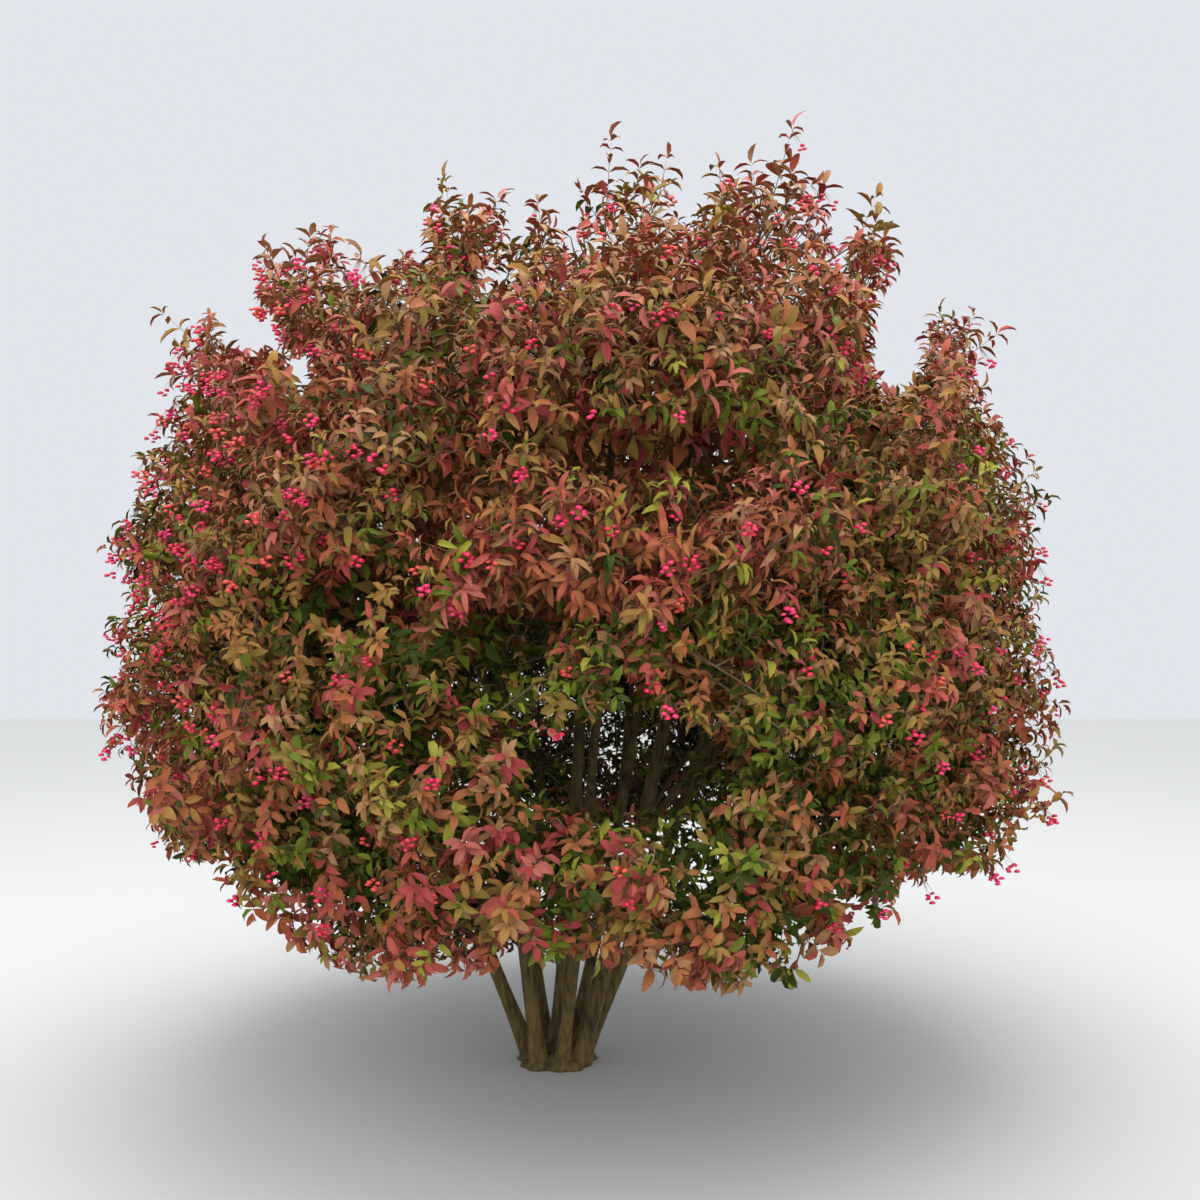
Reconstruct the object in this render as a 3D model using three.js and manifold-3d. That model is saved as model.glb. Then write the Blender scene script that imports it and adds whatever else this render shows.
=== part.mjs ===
// A European spindle in autumn: a shrub of eight stems from one root collar, with boughs
// that carry a broad dome of arching sprays and pink, four-lobed fruits.
// Millimetres. Z is up from the ground, X runs to the viewer's right and Y away from the viewer.
import * as THREE from "three";
import { mergeVertices } from "three/addons/utils/BufferGeometryUtils.js";
import Module from "manifold-3d";

const wasm = await Module();
wasm.setup();

// Crown outline: a lathed dome about an upright axis that stands a little right of the collar.
const CROWN_RADIUS = 1500;
const CROWN_SHIFT = 95;
const CROWN_WIDEST_Z = 1350;
const CROWN_DOME_Z = 3060;
const CROWN_UNDER_Z = 150;
const CROWN_HEM_Z = 560;
const DOME_POWER = 2.5;

// An egg-shaped opening low in the front of the crown, through which the stems show.
const WINDOW = { centre: [260, -1150, 1130], half: [340, 850, 190] };

// Leading shoots that make the top of the crown, each with the stem that feeds it.
// Reach is [x, y, z] of the shoot's tip, and girth is the stem's radius above its foot.
const LEADERS = [
  { name: "centre", reach: [190, 40, 3190], girth: 29 },
  { name: "front_right", reach: [760, -420, 3080], girth: 33 },
  { name: "right", reach: [1120, 80, 3000], girth: 24 },
  { name: "back_right", reach: [600, 860, 2920], girth: 22 },
  { name: "back_left", reach: [-400, 900, 2890], girth: 25 },
  { name: "left", reach: [-1040, 150, 2840], girth: 25 },
  { name: "front_left", reach: [-340, -400, 2920], girth: 27 },
  { name: "front", reach: [270, -980, 2680], girth: 21 },
];

// Three lower rings of boughs. Turn is the first tip's bearing, and heart the height that the
// masses' inner ends point to. Leaves is the height at which the boughs leave their stems.
const RINGS = [
  {
    name: "shoulder",
    names: ["right", "back_right", "back", "left_back", "left", "front_left", "front_right"],
    turn: -14,
    radius: 1400,
    height: 2430,
    heart: 1350,
    leaves: 1190,
    girth: 13,
  },
  {
    name: "waist",
    names: ["right_back", "back", "back_left", "left", "front_left", "front", "right_front"],
    turn: 20,
    radius: 1530,
    height: 1620,
    heart: 1150,
    leaves: 800,
    girth: 14,
  },
  {
    name: "hem",
    names: ["right", "back_right", "back", "left_back", "left_front", "front", "front_right"],
    turn: 3,
    radius: 1400,
    height: 800,
    heart: 1050,
    leaves: 430,
    girth: 13,
  },
];
const RING_JITTER = { turn: 9, radius: 0.06, height: 150, leaves: 110 };

// Root collar and limbs. Shares are of the length of the line that each one divides.
const FOOT_CIRCLE = 80;
const FLARE_HEIGHT = 210;
const FLARE = 0.6;
const JOINT_HEIGHT = 125;
const MOUND_RADIUS = 132;
const MOUND_HEIGHT = 60;
const STEM_SIDES = 7;
const STEM_STEPS = 5;
const BOUGH_SIDES = 5;
const BOUGH_STEPS = 3;
const LIMB_TIP_RADIUS = 9;
const LIMB_GAP = 0.3;
const FOOT_DEPTH = 50;
const STEM_LEAN = 0.74;
const STEM_BEND_HEIGHT = 0.5;
const BOUGH_BOW = 0.11;
const BOUGH_TO_STEM = 0.72;
const BOUGH_STAGGER = 130;
const LEADER_HEART_Z = 1250;
const LEADER_HEART_SHARE = 0.35;
const RING_HEART_SHARE = 0.5;
const ENTRY_SHARE = { leader: 0.5, shoulder: 0.48, waist: 0.47, hem: 0.47 };
const SEED_SHARE = 0.55;
const CLEARANCE_POINTS = 40;

// Twigs, sprays and fruit. A spray is one blade in place of a shoot with its pairs of leaves.
const SPACE_GAP = 3;
const MAIN_TWIG = { base: 13, tip: 8, bend: 0.45 };
const SIDE_TWIG = { radius: 4.4, length: 420, shortest: 120, angle: 58, lift: 0.18, shortening: 0.3 };
const SIDE_PAIRS = 3;
const FIRST_SPIN = 40;
const SPRAY = { length: 310, width: 165, widest: 0.45, fold: 16, droop: 24, sunk: 3.5 };
const SPRAY_ANGLE = 52;
const SPRAY_ROLL = 0.9;
const SPRAY_TILT = 0.5;
const SPRAY_BEND = { leader: 0, shoulder: 0.3, waist: 0.5, hem: 0.4 };
const SMALLER_SPRAY = 0.92;
const LAST_PAIR = { tiers: ["leader", "shoulder"], below: 30, scale: 0.75 };
const REACH_OVER = 130;
const SHRINK = [1, 0.84, 0.7, 0.56, 0.44];
const SLIVER = 0.8;
const FRUIT = { shoulder: 30, foot: 24, height: 44, groove: 0.62, hang: 0.75, stalk: 85, stalkRadius: 2.1 };
const UP = new THREE.Vector3(0, 0, 1);

const BARK = new THREE.MeshStandardMaterial({ color: 0x5c4a32, roughness: 0.9, metalness: 0 });
const TINTS = {
  bronze: new THREE.MeshStandardMaterial({ color: 0x7d5a32, roughness: 0.7, metalness: 0 }),
  russet: new THREE.MeshStandardMaterial({ color: 0x9a4c38, roughness: 0.7, metalness: 0 }),
  rose: new THREE.MeshStandardMaterial({ color: 0xa84a4c, roughness: 0.7, metalness: 0 }),
};
const TINT_OF_TIER = { leader: "bronze", shoulder: "bronze", waist: "russet", hem: "rose" };

const radians = THREE.MathUtils.degToRad;
const vector = (x, y, z) => new THREE.Vector3(x, y, z);
const along = (point, direction, distance) => point.clone().addScaledVector(direction, distance);

// Evenly spread numbers from 0 to 1 that are the same on every run.
function draws(seed) {
  let state = seed >>> 0;
  return () => {
    state = (state + 0x6d2b79f5) >>> 0;
    let mixed = Math.imul(state ^ (state >>> 15), state | 1);
    mixed ^= mixed + Math.imul(mixed ^ (mixed >>> 7), mixed | 61);
    return ((mixed ^ (mixed >>> 14)) >>> 0) / 4294967296;
  };
}

// The line that a limb or twig follows: a quadratic Bezier curve, which lies in one plane.
class Axis {
  constructor(root, control, tip) {
    this.root = root;
    this.control = control;
    this.tip = tip;
    this.length = (2 * root.distanceTo(tip) + root.distanceTo(control) + control.distanceTo(tip)) / 3;
    const first = control.clone().sub(root);
    const second = tip.clone().sub(control);
    this.across = first.clone().cross(second);
    if (this.across.length() < 1e-3 * first.length() * second.length()) {
      this.across = first.clone().cross(Math.abs(first.z) > 0.9 * first.length() ? vector(1, 0, 0) : UP);
    }
    this.across.normalize();
  }

  point(t) {
    return this.root
      .clone()
      .multiplyScalar((1 - t) * (1 - t))
      .addScaledVector(this.control, 2 * t * (1 - t))
      .addScaledVector(this.tip, t * t);
  }

  tangent(t) {
    const first = this.control.clone().sub(this.root);
    const second = this.tip.clone().sub(this.control);
    return first.multiplyScalar(1 - t).addScaledVector(second, t).normalize();
  }

  normal(t) {
    return this.across.clone().cross(this.tangent(t));
  }
}

function solidOf(geometry) {
  geometry.deleteAttribute("normal");
  geometry.deleteAttribute("uv");
  const merged = mergeVertices(geometry, 1e-3);
  const vertProperties = new Float32Array(merged.attributes.position.array);
  const triVerts = new Uint32Array(merged.index.array);
  return new wasm.Manifold(new wasm.Mesh({ numProp: 3, vertProperties, triVerts }));
}

function geometryOf(solid) {
  const mesh = solid.getMesh();
  return new THREE.BufferGeometry()
    .setAttribute("position", new THREE.BufferAttribute(mesh.vertProperties, 3))
    .setIndex(new THREE.BufferAttribute(mesh.triVerts, 1));
}

// A round limb along an axis: a cylinder whose rings are moved onto the curve and given its taper.
function limbSolid(axis, from, to, radiusAt, sides, steps, grown = 0) {
  const geometry = new THREE.CylinderGeometry(1, 1, 1, sides, steps);
  const position = geometry.attributes.position;
  for (let i = 0; i < position.count; i++) {
    const t = from + (position.getY(i) + 0.5) * (to - from);
    const radius = radiusAt(t) + grown;
    const place = axis.point(t);
    place.addScaledVector(axis.normal(t), position.getX(i) * radius);
    place.addScaledVector(axis.across, -position.getZ(i) * radius);
    position.setXYZ(i, place.x, place.y, place.z);
  }
  return solidOf(geometry);
}

// A blade with a raised midrib: a tetrahedron drawn out between its base and its tip.
function sprayCorners(base, forward, upward, scale) {
  const side = forward.clone().cross(upward);
  const length = SPRAY.length * scale;
  const tip = along(along(base, forward, length), upward, -SPRAY.droop * scale);
  const rib = base.clone().lerp(tip, SPRAY.widest);
  const under = along(rib, upward, -SPRAY.fold * scale);
  const half = (SPRAY.width * scale) / 2;
  return { base, tip, rib, left: along(under, side, -half), right: along(under, side, half) };
}

function spraySolid(corners) {
  const geometry = new THREE.TetrahedronGeometry(1, 0);
  const position = geometry.attributes.position;
  for (let i = 0; i < position.count; i++) {
    const [x, z] = [position.getX(i), position.getZ(i)];
    let corner = x > 0 ? corners.base : corners.tip;
    if (z < 0) corner = x > 0 ? corners.left : corners.right;
    position.setXYZ(i, corner.x, corner.y, corner.z);
  }
  return solidOf(geometry);
}

// A capsule with four lobes: a tapered drum of eight sides with every second corner drawn in.
function fruitSolid(centre) {
  const geometry = new THREE.CylinderGeometry(FRUIT.shoulder, FRUIT.foot, FRUIT.height, 8);
  const position = geometry.attributes.position;
  for (let i = 0; i < position.count; i++) {
    const [x, y, z] = [position.getX(i), position.getY(i), position.getZ(i)];
    const lobe = Math.round(Math.atan2(z, x) / (Math.PI / 4)) % 2 === 0 ? 1 : FRUIT.groove;
    position.setXYZ(i, centre.x + x * lobe, centre.y - z * lobe, centre.z + y);
  }
  return solidOf(geometry);
}

function crownRadius(z) {
  const depth = z > CROWN_WIDEST_Z ? CROWN_DOME_Z - CROWN_WIDEST_Z : CROWN_WIDEST_Z - CROWN_UNDER_Z;
  const share = Math.min(1, Math.abs(z - CROWN_WIDEST_Z) / depth);
  return CROWN_RADIUS * (1 - share ** DOME_POWER) ** (1 / DOME_POWER);
}

// Every mass of foliage, with its tip, the point where its limb enters it and the seed of its space.
function planMasses() {
  const masses = LEADERS.map(({ name, reach, girth }) => {
    const tip = vector(...reach);
    const heart = vector(tip.x * LEADER_HEART_SHARE, tip.y * LEADER_HEART_SHARE, LEADER_HEART_Z);
    return { tier: "leader", name: "top_" + name, limb: "stem_" + name, tip, heart, girth };
  });
  RINGS.forEach((ring, level) => {
    const draw = draws(700 + level);
    ring.names.forEach((name, step) => {
      const spread = () => draw() - 0.5;
      const turn = radians(ring.turn + (360 / ring.names.length) * step + RING_JITTER.turn * spread());
      const radius = ring.radius * (1 + RING_JITTER.radius * spread());
      const height = ring.height + RING_JITTER.height * spread();
      const tip = vector(CROWN_SHIFT + radius * Math.cos(turn), radius * Math.sin(turn), height);
      const heart = vector(RING_HEART_SHARE * CROWN_SHIFT, 0, ring.heart);
      masses.push({
        tier: ring.name,
        name: ring.name + "_" + name,
        limb: "bough_" + ring.name + "_" + name,
        tip,
        heart,
        girth: ring.girth,
        leavesStem: ring.leaves + RING_JITTER.leaves * spread(),
      });
    });
  });
  for (const mass of masses) {
    mass.entry = mass.tip.clone().lerp(mass.heart, ENTRY_SHARE[mass.tier]);
    mass.seed = mass.tip.clone().lerp(mass.entry, SEED_SHARE);
  }
  return masses;
}

// A stem rises from its foot on the collar, leans out early and then bends upwards.
function planStem(mass) {
  const lean = vector(mass.entry.x, mass.entry.y, 0);
  const circle = mass.name === "top_centre" ? 0 : FOOT_CIRCLE;
  const foot = lean.clone().normalize().multiplyScalar(circle);
  const control = foot.clone().lerp(lean, STEM_LEAN);
  control.z = STEM_BEND_HEIGHT * mass.entry.z;
  const axis = new Axis(foot, control, mass.entry);
  const flare = (t) => FLARE * Math.max(0, 1 - (Math.max(t, 0) * axis.length) / FLARE_HEIGHT) ** 2;
  const radiusAt = (t) => (mass.girth + (LIMB_TIP_RADIUS - mass.girth) * Math.max(t, 0)) * (1 + flare(t));
  return { axis, radiusAt, from: (JOINT_HEIGHT + LIMB_GAP) / axis.length, boughs: {} };
}

// A bough leaves the outer stem whose entry lies nearest to it round the crown, and bows upwards.
function planBough(mass, stems, leaders) {
  const bearing = (point) => Math.atan2(point.y, point.x - RING_HEART_SHARE * CROWN_SHIFT);
  const turnTo = (leader) => {
    const turn = Math.abs(bearing(leader.entry) - bearing(mass.entry));
    return Math.min(turn, 2 * Math.PI - turn);
  };
  const crowding = (leader) => 0.5 * (stems.get(leader.limb).boughs[mass.tier] ?? 0);
  const outer = leaders.filter((leader) => leader.name !== "top_centre");
  const [leader] = outer.sort((a, b) => turnTo(a) + crowding(a) - turnTo(b) - crowding(b));
  const stem = stems.get(leader.limb);
  const taken = stem.boughs[mass.tier] ?? 0;
  stem.boughs[mass.tier] = taken + 1;
  const height = mass.leavesStem + BOUGH_STAGGER * taken;
  let t = 0;
  while (stem.axis.point(t).z < height) t += 0.002;
  const root = stem.axis.point(t);
  const bow = BOUGH_BOW * root.distanceTo(mass.entry);
  const control = root.clone().lerp(mass.entry, 0.5).addScaledVector(UP, bow);
  const axis = new Axis(root, control, mass.entry);
  const start = Math.min(mass.girth, BOUGH_TO_STEM * stem.radiusAt(t));
  const radiusAt = (s) => start + (LIMB_TIP_RADIUS - start) * s;
  return { axis, radiusAt, from: 0, stem };
}

function inWindow(point) {
  const share = ["x", "y", "z"].map((axis, i) => (point[axis] - WINDOW.centre[i]) / WINDOW.half[i]);
  return Math.hypot(...share) < 1;
}

// The space of one mass: inside the crown, above the hem, out of the window and nearer to its own
// seed than to any other.
function holds(mass, point, margin, over = 0) {
  if (point.z < CROWN_HEM_Z || inWindow(point)) return false;
  if (Math.hypot(point.x - CROWN_SHIFT, point.y) > crownRadius(point.z) + over) return false;
  return masses.every((other) => {
    if (other === mass) return true;
    const nearer = point.distanceToSquared(other.seed) - point.distanceToSquared(mass.seed);
    return nearer / (2 * mass.seed.distanceTo(other.seed)) > margin;
  });
}

function clearOfLimbs(point, margin) {
  return limbSamples.every(({ place, radius }) => place.distanceTo(point) > radius + margin);
}

function fits(mass, points, margin, over) {
  return points.every((point) => holds(mass, point, margin, over) && clearOfLimbs(point, 2 * margin));
}

// The longest of a few sprays from this point that stays in its mass's space, or null.
function fitSpray(mass, base, outward, roll, over, most = 1) {
  const forward = outward.clone().addScaledVector(UP, -SPRAY_BEND[mass.tier]).normalize();
  const level = forward.clone().cross(UP);
  if (level.length() < 0.2) level.set(1, 0, 0).cross(forward);
  const upward = level.normalize().cross(forward).applyAxisAngle(forward, roll);
  for (const share of SHRINK) {
    const corners = sprayCorners(base, forward, upward, share * most);
    const { tip, rib, left, right } = corners;
    if (fits(mass, [tip, rib, left, right], SPACE_GAP, over)) return corners;
  }
  return null;
}

// A straight side twig: kept if some share of its full length stays in the mass's space, or null.
function fitTwig(mass, root, forward, length, over) {
  for (const share of SHRINK) {
    const reach = length * share;
    if (reach < SIDE_TWIG.shortest) return null;
    const axis = new Axis(root, along(root, forward, reach / 2), along(root, forward, reach));
    const tested = [0.4, 0.7, 1].map((t) => axis.point(t));
    if (fits(mass, tested, SPACE_GAP + SIDE_TWIG.radius, over)) return axis;
  }
  return null;
}

// The main twig starts clear of its limb's tip, goes on as the limb does and bends to the mass's tip.
function mainTwigAxis(mass, limb) {
  const heading = limb.axis.tangent(1);
  const root = along(mass.entry, heading, LIMB_GAP);
  const outward = mass.tip.clone().sub(root).normalize();
  const end = along(mass.tip, outward, -SMALLER_SPRAY * SPRAY.length);
  return new Axis(root, along(root, heading, MAIN_TWIG.bend * root.distanceTo(end)), end);
}

// A fruit that hangs on its stalk from a twig, if there is room for it.
function hungFruit(mass, hang) {
  const centre = along(hang, UP, -FRUIT.stalk);
  if (!fits(mass, [centre], FRUIT.shoulder + SPACE_GAP, 0)) return [];
  const stalk = new Axis(hang, along(hang, UP, -FRUIT.stalk / 2), centre);
  return [limbSolid(stalk, 0, 1, () => FRUIT.stalkRadius, 3, 1), fruitSolid(centre)];
}

// A side twig with a spray at its end and one on each side; a lone spray where the twig has no room.
function sideShoot(mass, main, t, aside, draw, fruiting) {
  const stretch = 0.85 + 0.3 * draw();
  const over = REACH_OVER * draw();
  const roll = SPRAY_ROLL * (2 * draw() - 1);
  const angle = radians(SIDE_TWIG.angle);
  const forward = main.tangent(t).multiplyScalar(Math.cos(angle)).addScaledVector(aside, Math.sin(angle));
  forward.addScaledVector(UP, SIDE_TWIG.lift).normalize();
  const root = main.point(t);
  const length = SIDE_TWIG.length * (1 - SIDE_TWIG.shortening * t) * stretch;
  const twig = fitTwig(mass, root, forward, length, over);
  if (!twig) return [fitSpray(mass, root, forward, roll, over)].filter(Boolean).map(spraySolid);

  const sprays = [fitSpray(mass, along(twig.tip, forward, -SPRAY.sunk), forward, roll, over)];
  const level = forward.clone().cross(UP).normalize();
  for (const side of [1, -1]) {
    const outwards = forward.clone().multiplyScalar(Math.cos(radians(SPRAY_ANGLE)));
    outwards.addScaledVector(level, side * Math.sin(radians(SPRAY_ANGLE))).normalize();
    const base = along(twig.point(0.5), outwards, -0.25 * SIDE_TWIG.radius);
    sprays.push(fitSpray(mass, base, outwards, roll - SPRAY_TILT * side, over, SMALLER_SPRAY));
  }
  const wood = limbSolid(twig, 0, 1, () => SIDE_TWIG.radius, 3, 1);
  const fruit = fruiting ? hungFruit(mass, twig.point(FRUIT.hang)) : [];
  return [wood, ...sprays.filter(Boolean).map(spraySolid), ...fruit];
}

// One mass: a main twig with a spray at its end and opposite pairs of side shoots that turn a
// quarter from pair to pair, all joined in one solid.
function growMass(mass, index, limb) {
  const draw = draws(9000 + 37 * index);
  const main = mainTwigAxis(mass, limb);
  const radiusAt = (t) => MAIN_TWIG.base + (MAIN_TWIG.tip - MAIN_TWIG.base) * t;
  const last = mass.tip.clone().sub(main.tip).normalize();
  const end = sprayCorners(along(main.tip, last, -SPRAY.sunk), last, main.normal(1), SMALLER_SPRAY);
  const solids = [limbSolid(main, 0, 1, radiusAt, 3, SIDE_PAIRS + 1), spraySolid(end)];
  for (let pair = 0; pair < SIDE_PAIRS; pair++) {
    const t = (pair + 1) / (SIDE_PAIRS + 1);
    const spin = radians(90 * pair + FIRST_SPIN + 30 * (draw() - 0.5));
    for (const hand of [1, -1]) {
      const aside = main.normal(t).multiplyScalar(hand * Math.cos(spin));
      aside.addScaledVector(main.across, hand * Math.sin(spin));
      solids.push(...sideShoot(mass, main, t, aside, draw, pair === 1 && hand === 1));
    }
  }
  for (const hand of LAST_PAIR.tiers.includes(mass.tier) ? [1, -1] : []) {
    const forward = last.clone().addScaledVector(main.across, hand).normalize();
    const base = along(main.tip, last, -LAST_PAIR.below);
    const corners = fitSpray(mass, base, forward, hand, REACH_OVER, LAST_PAIR.scale);
    if (corners) solids.push(spraySolid(corners));
  }
  const bodies = wasm.Manifold.union(solids).simplify(SLIVER).decompose();
  return bodies.sort((a, b) => b.volume() - a.volume())[0];
}

// The root collar: the stems' flared feet and a low mound between them, cut flat at the ground.
function collarSolid(stems) {
  const feet = [...stems].map((stem) => {
    const top = JOINT_HEIGHT / stem.axis.length;
    return limbSolid(stem.axis, -FOOT_DEPTH / stem.axis.length, top, stem.radiusAt, STEM_SIDES, 2);
  });
  const profile = [
    [0, -20],
    [MOUND_RADIUS, -20],
    [0.82 * MOUND_RADIUS, 0.42 * MOUND_HEIGHT],
    [0.45 * MOUND_RADIUS, 0.85 * MOUND_HEIGHT],
    [0, MOUND_HEIGHT],
  ];
  const mound = new THREE.LatheGeometry(profile.map(([r, z]) => new THREE.Vector2(r, z)), 14);
  mound.rotateX(Math.PI / 2);
  const below = new THREE.BoxGeometry(1000, 1000, 400);
  below.translate(0, 0, -200);
  return wasm.Manifold.union([...feet, solidOf(mound)]).subtract(solidOf(below));
}

const shrub = new THREE.Group();

function addNode(name, solid, material) {
  const mesh = new THREE.Mesh(geometryOf(solid), material);
  mesh.name = name;
  shrub.add(mesh);
}

const masses = planMasses();
const leaders = masses.filter((mass) => mass.tier === "leader");
const stems = new Map(leaders.map((mass) => [mass.limb, planStem(mass)]));
const limbs = new Map(stems);
for (const mass of masses.filter((each) => each.tier !== "leader")) {
  limbs.set(mass.limb, planBough(mass, stems, leaders));
}
const limbSamples = [...limbs.values()].flatMap(({ axis, radiusAt, from }) =>
  Array.from({ length: CLEARANCE_POINTS + 1 }, (_, i) => {
    const t = from + ((1 - from) * i) / CLEARANCE_POINTS;
    return { place: axis.point(t), radius: radiusAt(t) };
  }),
);

addNode("root_collar", collarSolid(stems.values()), BARK);
for (const [name, { axis, radiusAt, from, stem }] of limbs) {
  if (stem) {
    const around = limbSolid(stem.axis, stem.from, 1, stem.radiusAt, STEM_SIDES, STEM_STEPS, LIMB_GAP);
    addNode(name, limbSolid(axis, 0, 1, radiusAt, BOUGH_SIDES, BOUGH_STEPS).subtract(around), BARK);
  } else {
    addNode(name, limbSolid(axis, from, 1, radiusAt, STEM_SIDES, STEM_STEPS), BARK);
  }
}
masses.forEach((mass, index) => {
  const solid = growMass(mass, index, limbs.get(mass.limb));
  addNode("foliage_" + mass.name, solid, TINTS[TINT_OF_TIER[mass.tier]]);
});

export default shrub;
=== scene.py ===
import math

import bpy
import numpy as np
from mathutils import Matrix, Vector


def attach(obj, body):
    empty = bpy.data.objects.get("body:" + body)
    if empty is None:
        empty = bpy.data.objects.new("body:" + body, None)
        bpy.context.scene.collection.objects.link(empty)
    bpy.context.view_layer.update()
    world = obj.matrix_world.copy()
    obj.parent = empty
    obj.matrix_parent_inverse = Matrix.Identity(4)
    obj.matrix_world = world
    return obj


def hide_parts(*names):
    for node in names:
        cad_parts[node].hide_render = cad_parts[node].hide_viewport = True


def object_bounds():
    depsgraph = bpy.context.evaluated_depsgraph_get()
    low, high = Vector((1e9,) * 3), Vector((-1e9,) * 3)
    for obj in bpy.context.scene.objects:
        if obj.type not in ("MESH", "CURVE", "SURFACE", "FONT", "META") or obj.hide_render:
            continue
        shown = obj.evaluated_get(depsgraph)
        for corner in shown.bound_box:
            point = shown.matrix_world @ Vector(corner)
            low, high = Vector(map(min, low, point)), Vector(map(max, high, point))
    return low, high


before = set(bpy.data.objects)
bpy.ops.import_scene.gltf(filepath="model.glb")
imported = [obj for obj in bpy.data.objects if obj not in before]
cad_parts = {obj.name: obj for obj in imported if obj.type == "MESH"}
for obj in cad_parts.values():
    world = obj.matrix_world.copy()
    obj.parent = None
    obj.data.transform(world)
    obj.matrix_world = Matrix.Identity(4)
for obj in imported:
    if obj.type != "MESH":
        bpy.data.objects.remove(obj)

cad_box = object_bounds()

# A European spindle in autumn. Metres, with Z up, X to the viewer's right and Y away from the viewer.
UP = np.array((0.0, 0.0, 1.0))

# The crown's outline, the leaders (name, tip, girth) and the rings of boughs, as the frame has them.
CROWN_RADIUS = 1.5
CROWN_SHIFT = 0.095
CROWN_WIDEST_Z = 1.35
CROWN_DOME_Z = 3.06
CROWN_UNDER_Z = 0.15
CROWN_MIDDLE = np.array((CROWN_SHIFT, 0, 1.4))
DOME_POWER = 2.5
TIERS = ("leader", "shoulder", "waist", "hem")
LEADERS = (
    ("centre", (0.19, 0.04, 3.19), 0.029),
    ("front_right", (0.76, -0.42, 3.08), 0.033),
    ("right", (1.12, 0.08, 3.0), 0.024),
    ("back_right", (0.6, 0.86, 2.92), 0.022),
    ("back_left", (-0.4, 0.9, 2.89), 0.025),
    ("left", (-1.04, 0.15, 2.84), 0.025),
    ("front_left", (-0.34, -0.4, 2.92), 0.027),
    ("front", (0.27, -0.98, 2.68), 0.021),
)
RINGS = (
    {
        "tier": "shoulder",
        "names": ("right", "back_right", "back", "left_back", "left", "front_left", "front_right"),
        "turn": -14, "radius": 1.4, "height": 2.43, "heart": 1.35, "leaves": 1.19, "girth": 0.013,
    },
    {
        "tier": "waist",
        "names": ("right_back", "back", "back_left", "left", "front_left", "front", "right_front"),
        "turn": 20, "radius": 1.53, "height": 1.62, "heart": 1.15, "leaves": 0.8, "girth": 0.014,
    },
    {
        "tier": "hem",
        "names": ("right", "back_right", "back", "left_back", "left_front", "front", "front_right"),
        "turn": 3, "radius": 1.4, "height": 0.8, "heart": 1.05, "leaves": 0.43, "girth": 0.013,
    },
)
RING_JITTER = {"turn": 9, "radius": 0.06, "height": 0.15, "leaves": 0.11}
FOOT_CIRCLE = 0.08
FLARE_HEIGHT = 0.21
FLARE = 0.6
STEM_LEAN = 0.74
STEM_BEND_HEIGHT = 0.5
BOUGH_BOW = 0.11
BOUGH_TO_STEM = 0.72
BOUGH_STAGGER = 0.13
LIMB_TIP_RADIUS = 0.009
LEADER_HEART_Z = 1.25
LEADER_HEART_SHARE = 0.35
RING_HEART_SHARE = 0.5
ENTRY_SHARE = {"leader": 0.5, "shoulder": 0.48, "waist": 0.47, "hem": 0.47}
SEED_SHARE = 0.55
SHRINK = (1.0, 0.87, 0.76, 0.66, 0.57, 0.48, 0.4, 0.32, 0.25)
MOUND_RADIUS = 0.132
MOUND_HEIGHT = 0.06

# Egg-shaped hollows in the front, each a middle and half sizes: the opening where the stems show, a shaded
# one above it to the left and one above the rose spray.
HOLLOWS = np.array((
    ((0.23, -1.15, 1.14), (0.29, 0.85, 0.16)),
    ((-0.1, -1.42, 1.46), (0.17, 0.42, 0.15)),
    ((0.3, -1.38, 1.955), (0.33, 0.42, 0.09)),
))
# Gaps in the crown's outline as it is seen from in front, each an upright ellipse on the plane through the
# crown's middle: x and z of its middle, half width and half height.
VIEWED_FROM = np.array((0.15, -4.9, 1.571))
OUTLINE_GAPS = (
    (1.16, 2.47, 0.14, 0.24),
    (1.26, 2.725, 0.16, 0.19),
    (1.635, 2.322, 0.2, 0.27),
    (-1.04, 2.5, 0.16, 0.13),
    (-0.87, 2.35, 0.07, 0.11),
    (-0.64, 2.79, 0.13, 0.17),
    (-0.47, 2.8, 0.065, 0.11),
    (-0.24, 2.68, 0.06, 0.08),
    (-0.12, 2.82, 0.06, 0.07),
    (0.15, 2.77, 0.04, 0.06),
    (0.97, 2.73, 0.05, 0.06),
    (0.02, 2.92, 0.09, 0.1),
    (0.457, 2.92, 0.05, 0.1),
    (0.987, 2.92, 0.065, 0.1),
)

# Curves are tried at these shares of their length, and distances worked out for so many points at once.
TRIED_AT = (0.4, 0.7, 1.0)
AT_ONCE = 4000

# Finer growth: side twigs on each main twig, leafy shoots on each side twig and leaves on each shoot.
# Each row of four is for the leaders, the shoulder, the waist and the hem.
SHOOT_SPACE = (0.3, 0.26, 0.2, 0.2)
TWIG_PAIRS = (18, 14, 14, 17)
TWIG_ANGLE = (50, 64, 70, 74)
TWIG_SPREAD = (1.0, 0.8, 0.6, 0.35)
TWIG_LENGTH = (0.85, 0.85, 0.9, 1.15)
TWIG_LIFT = (0.4, 0.25, 0.1, 0.05)
TWIG_DROOP = (0.0, 0.4, 0.25, 0.12)
TWIG_BELOW = (0.35, 0.8, 0.8, 0.8)
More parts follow.
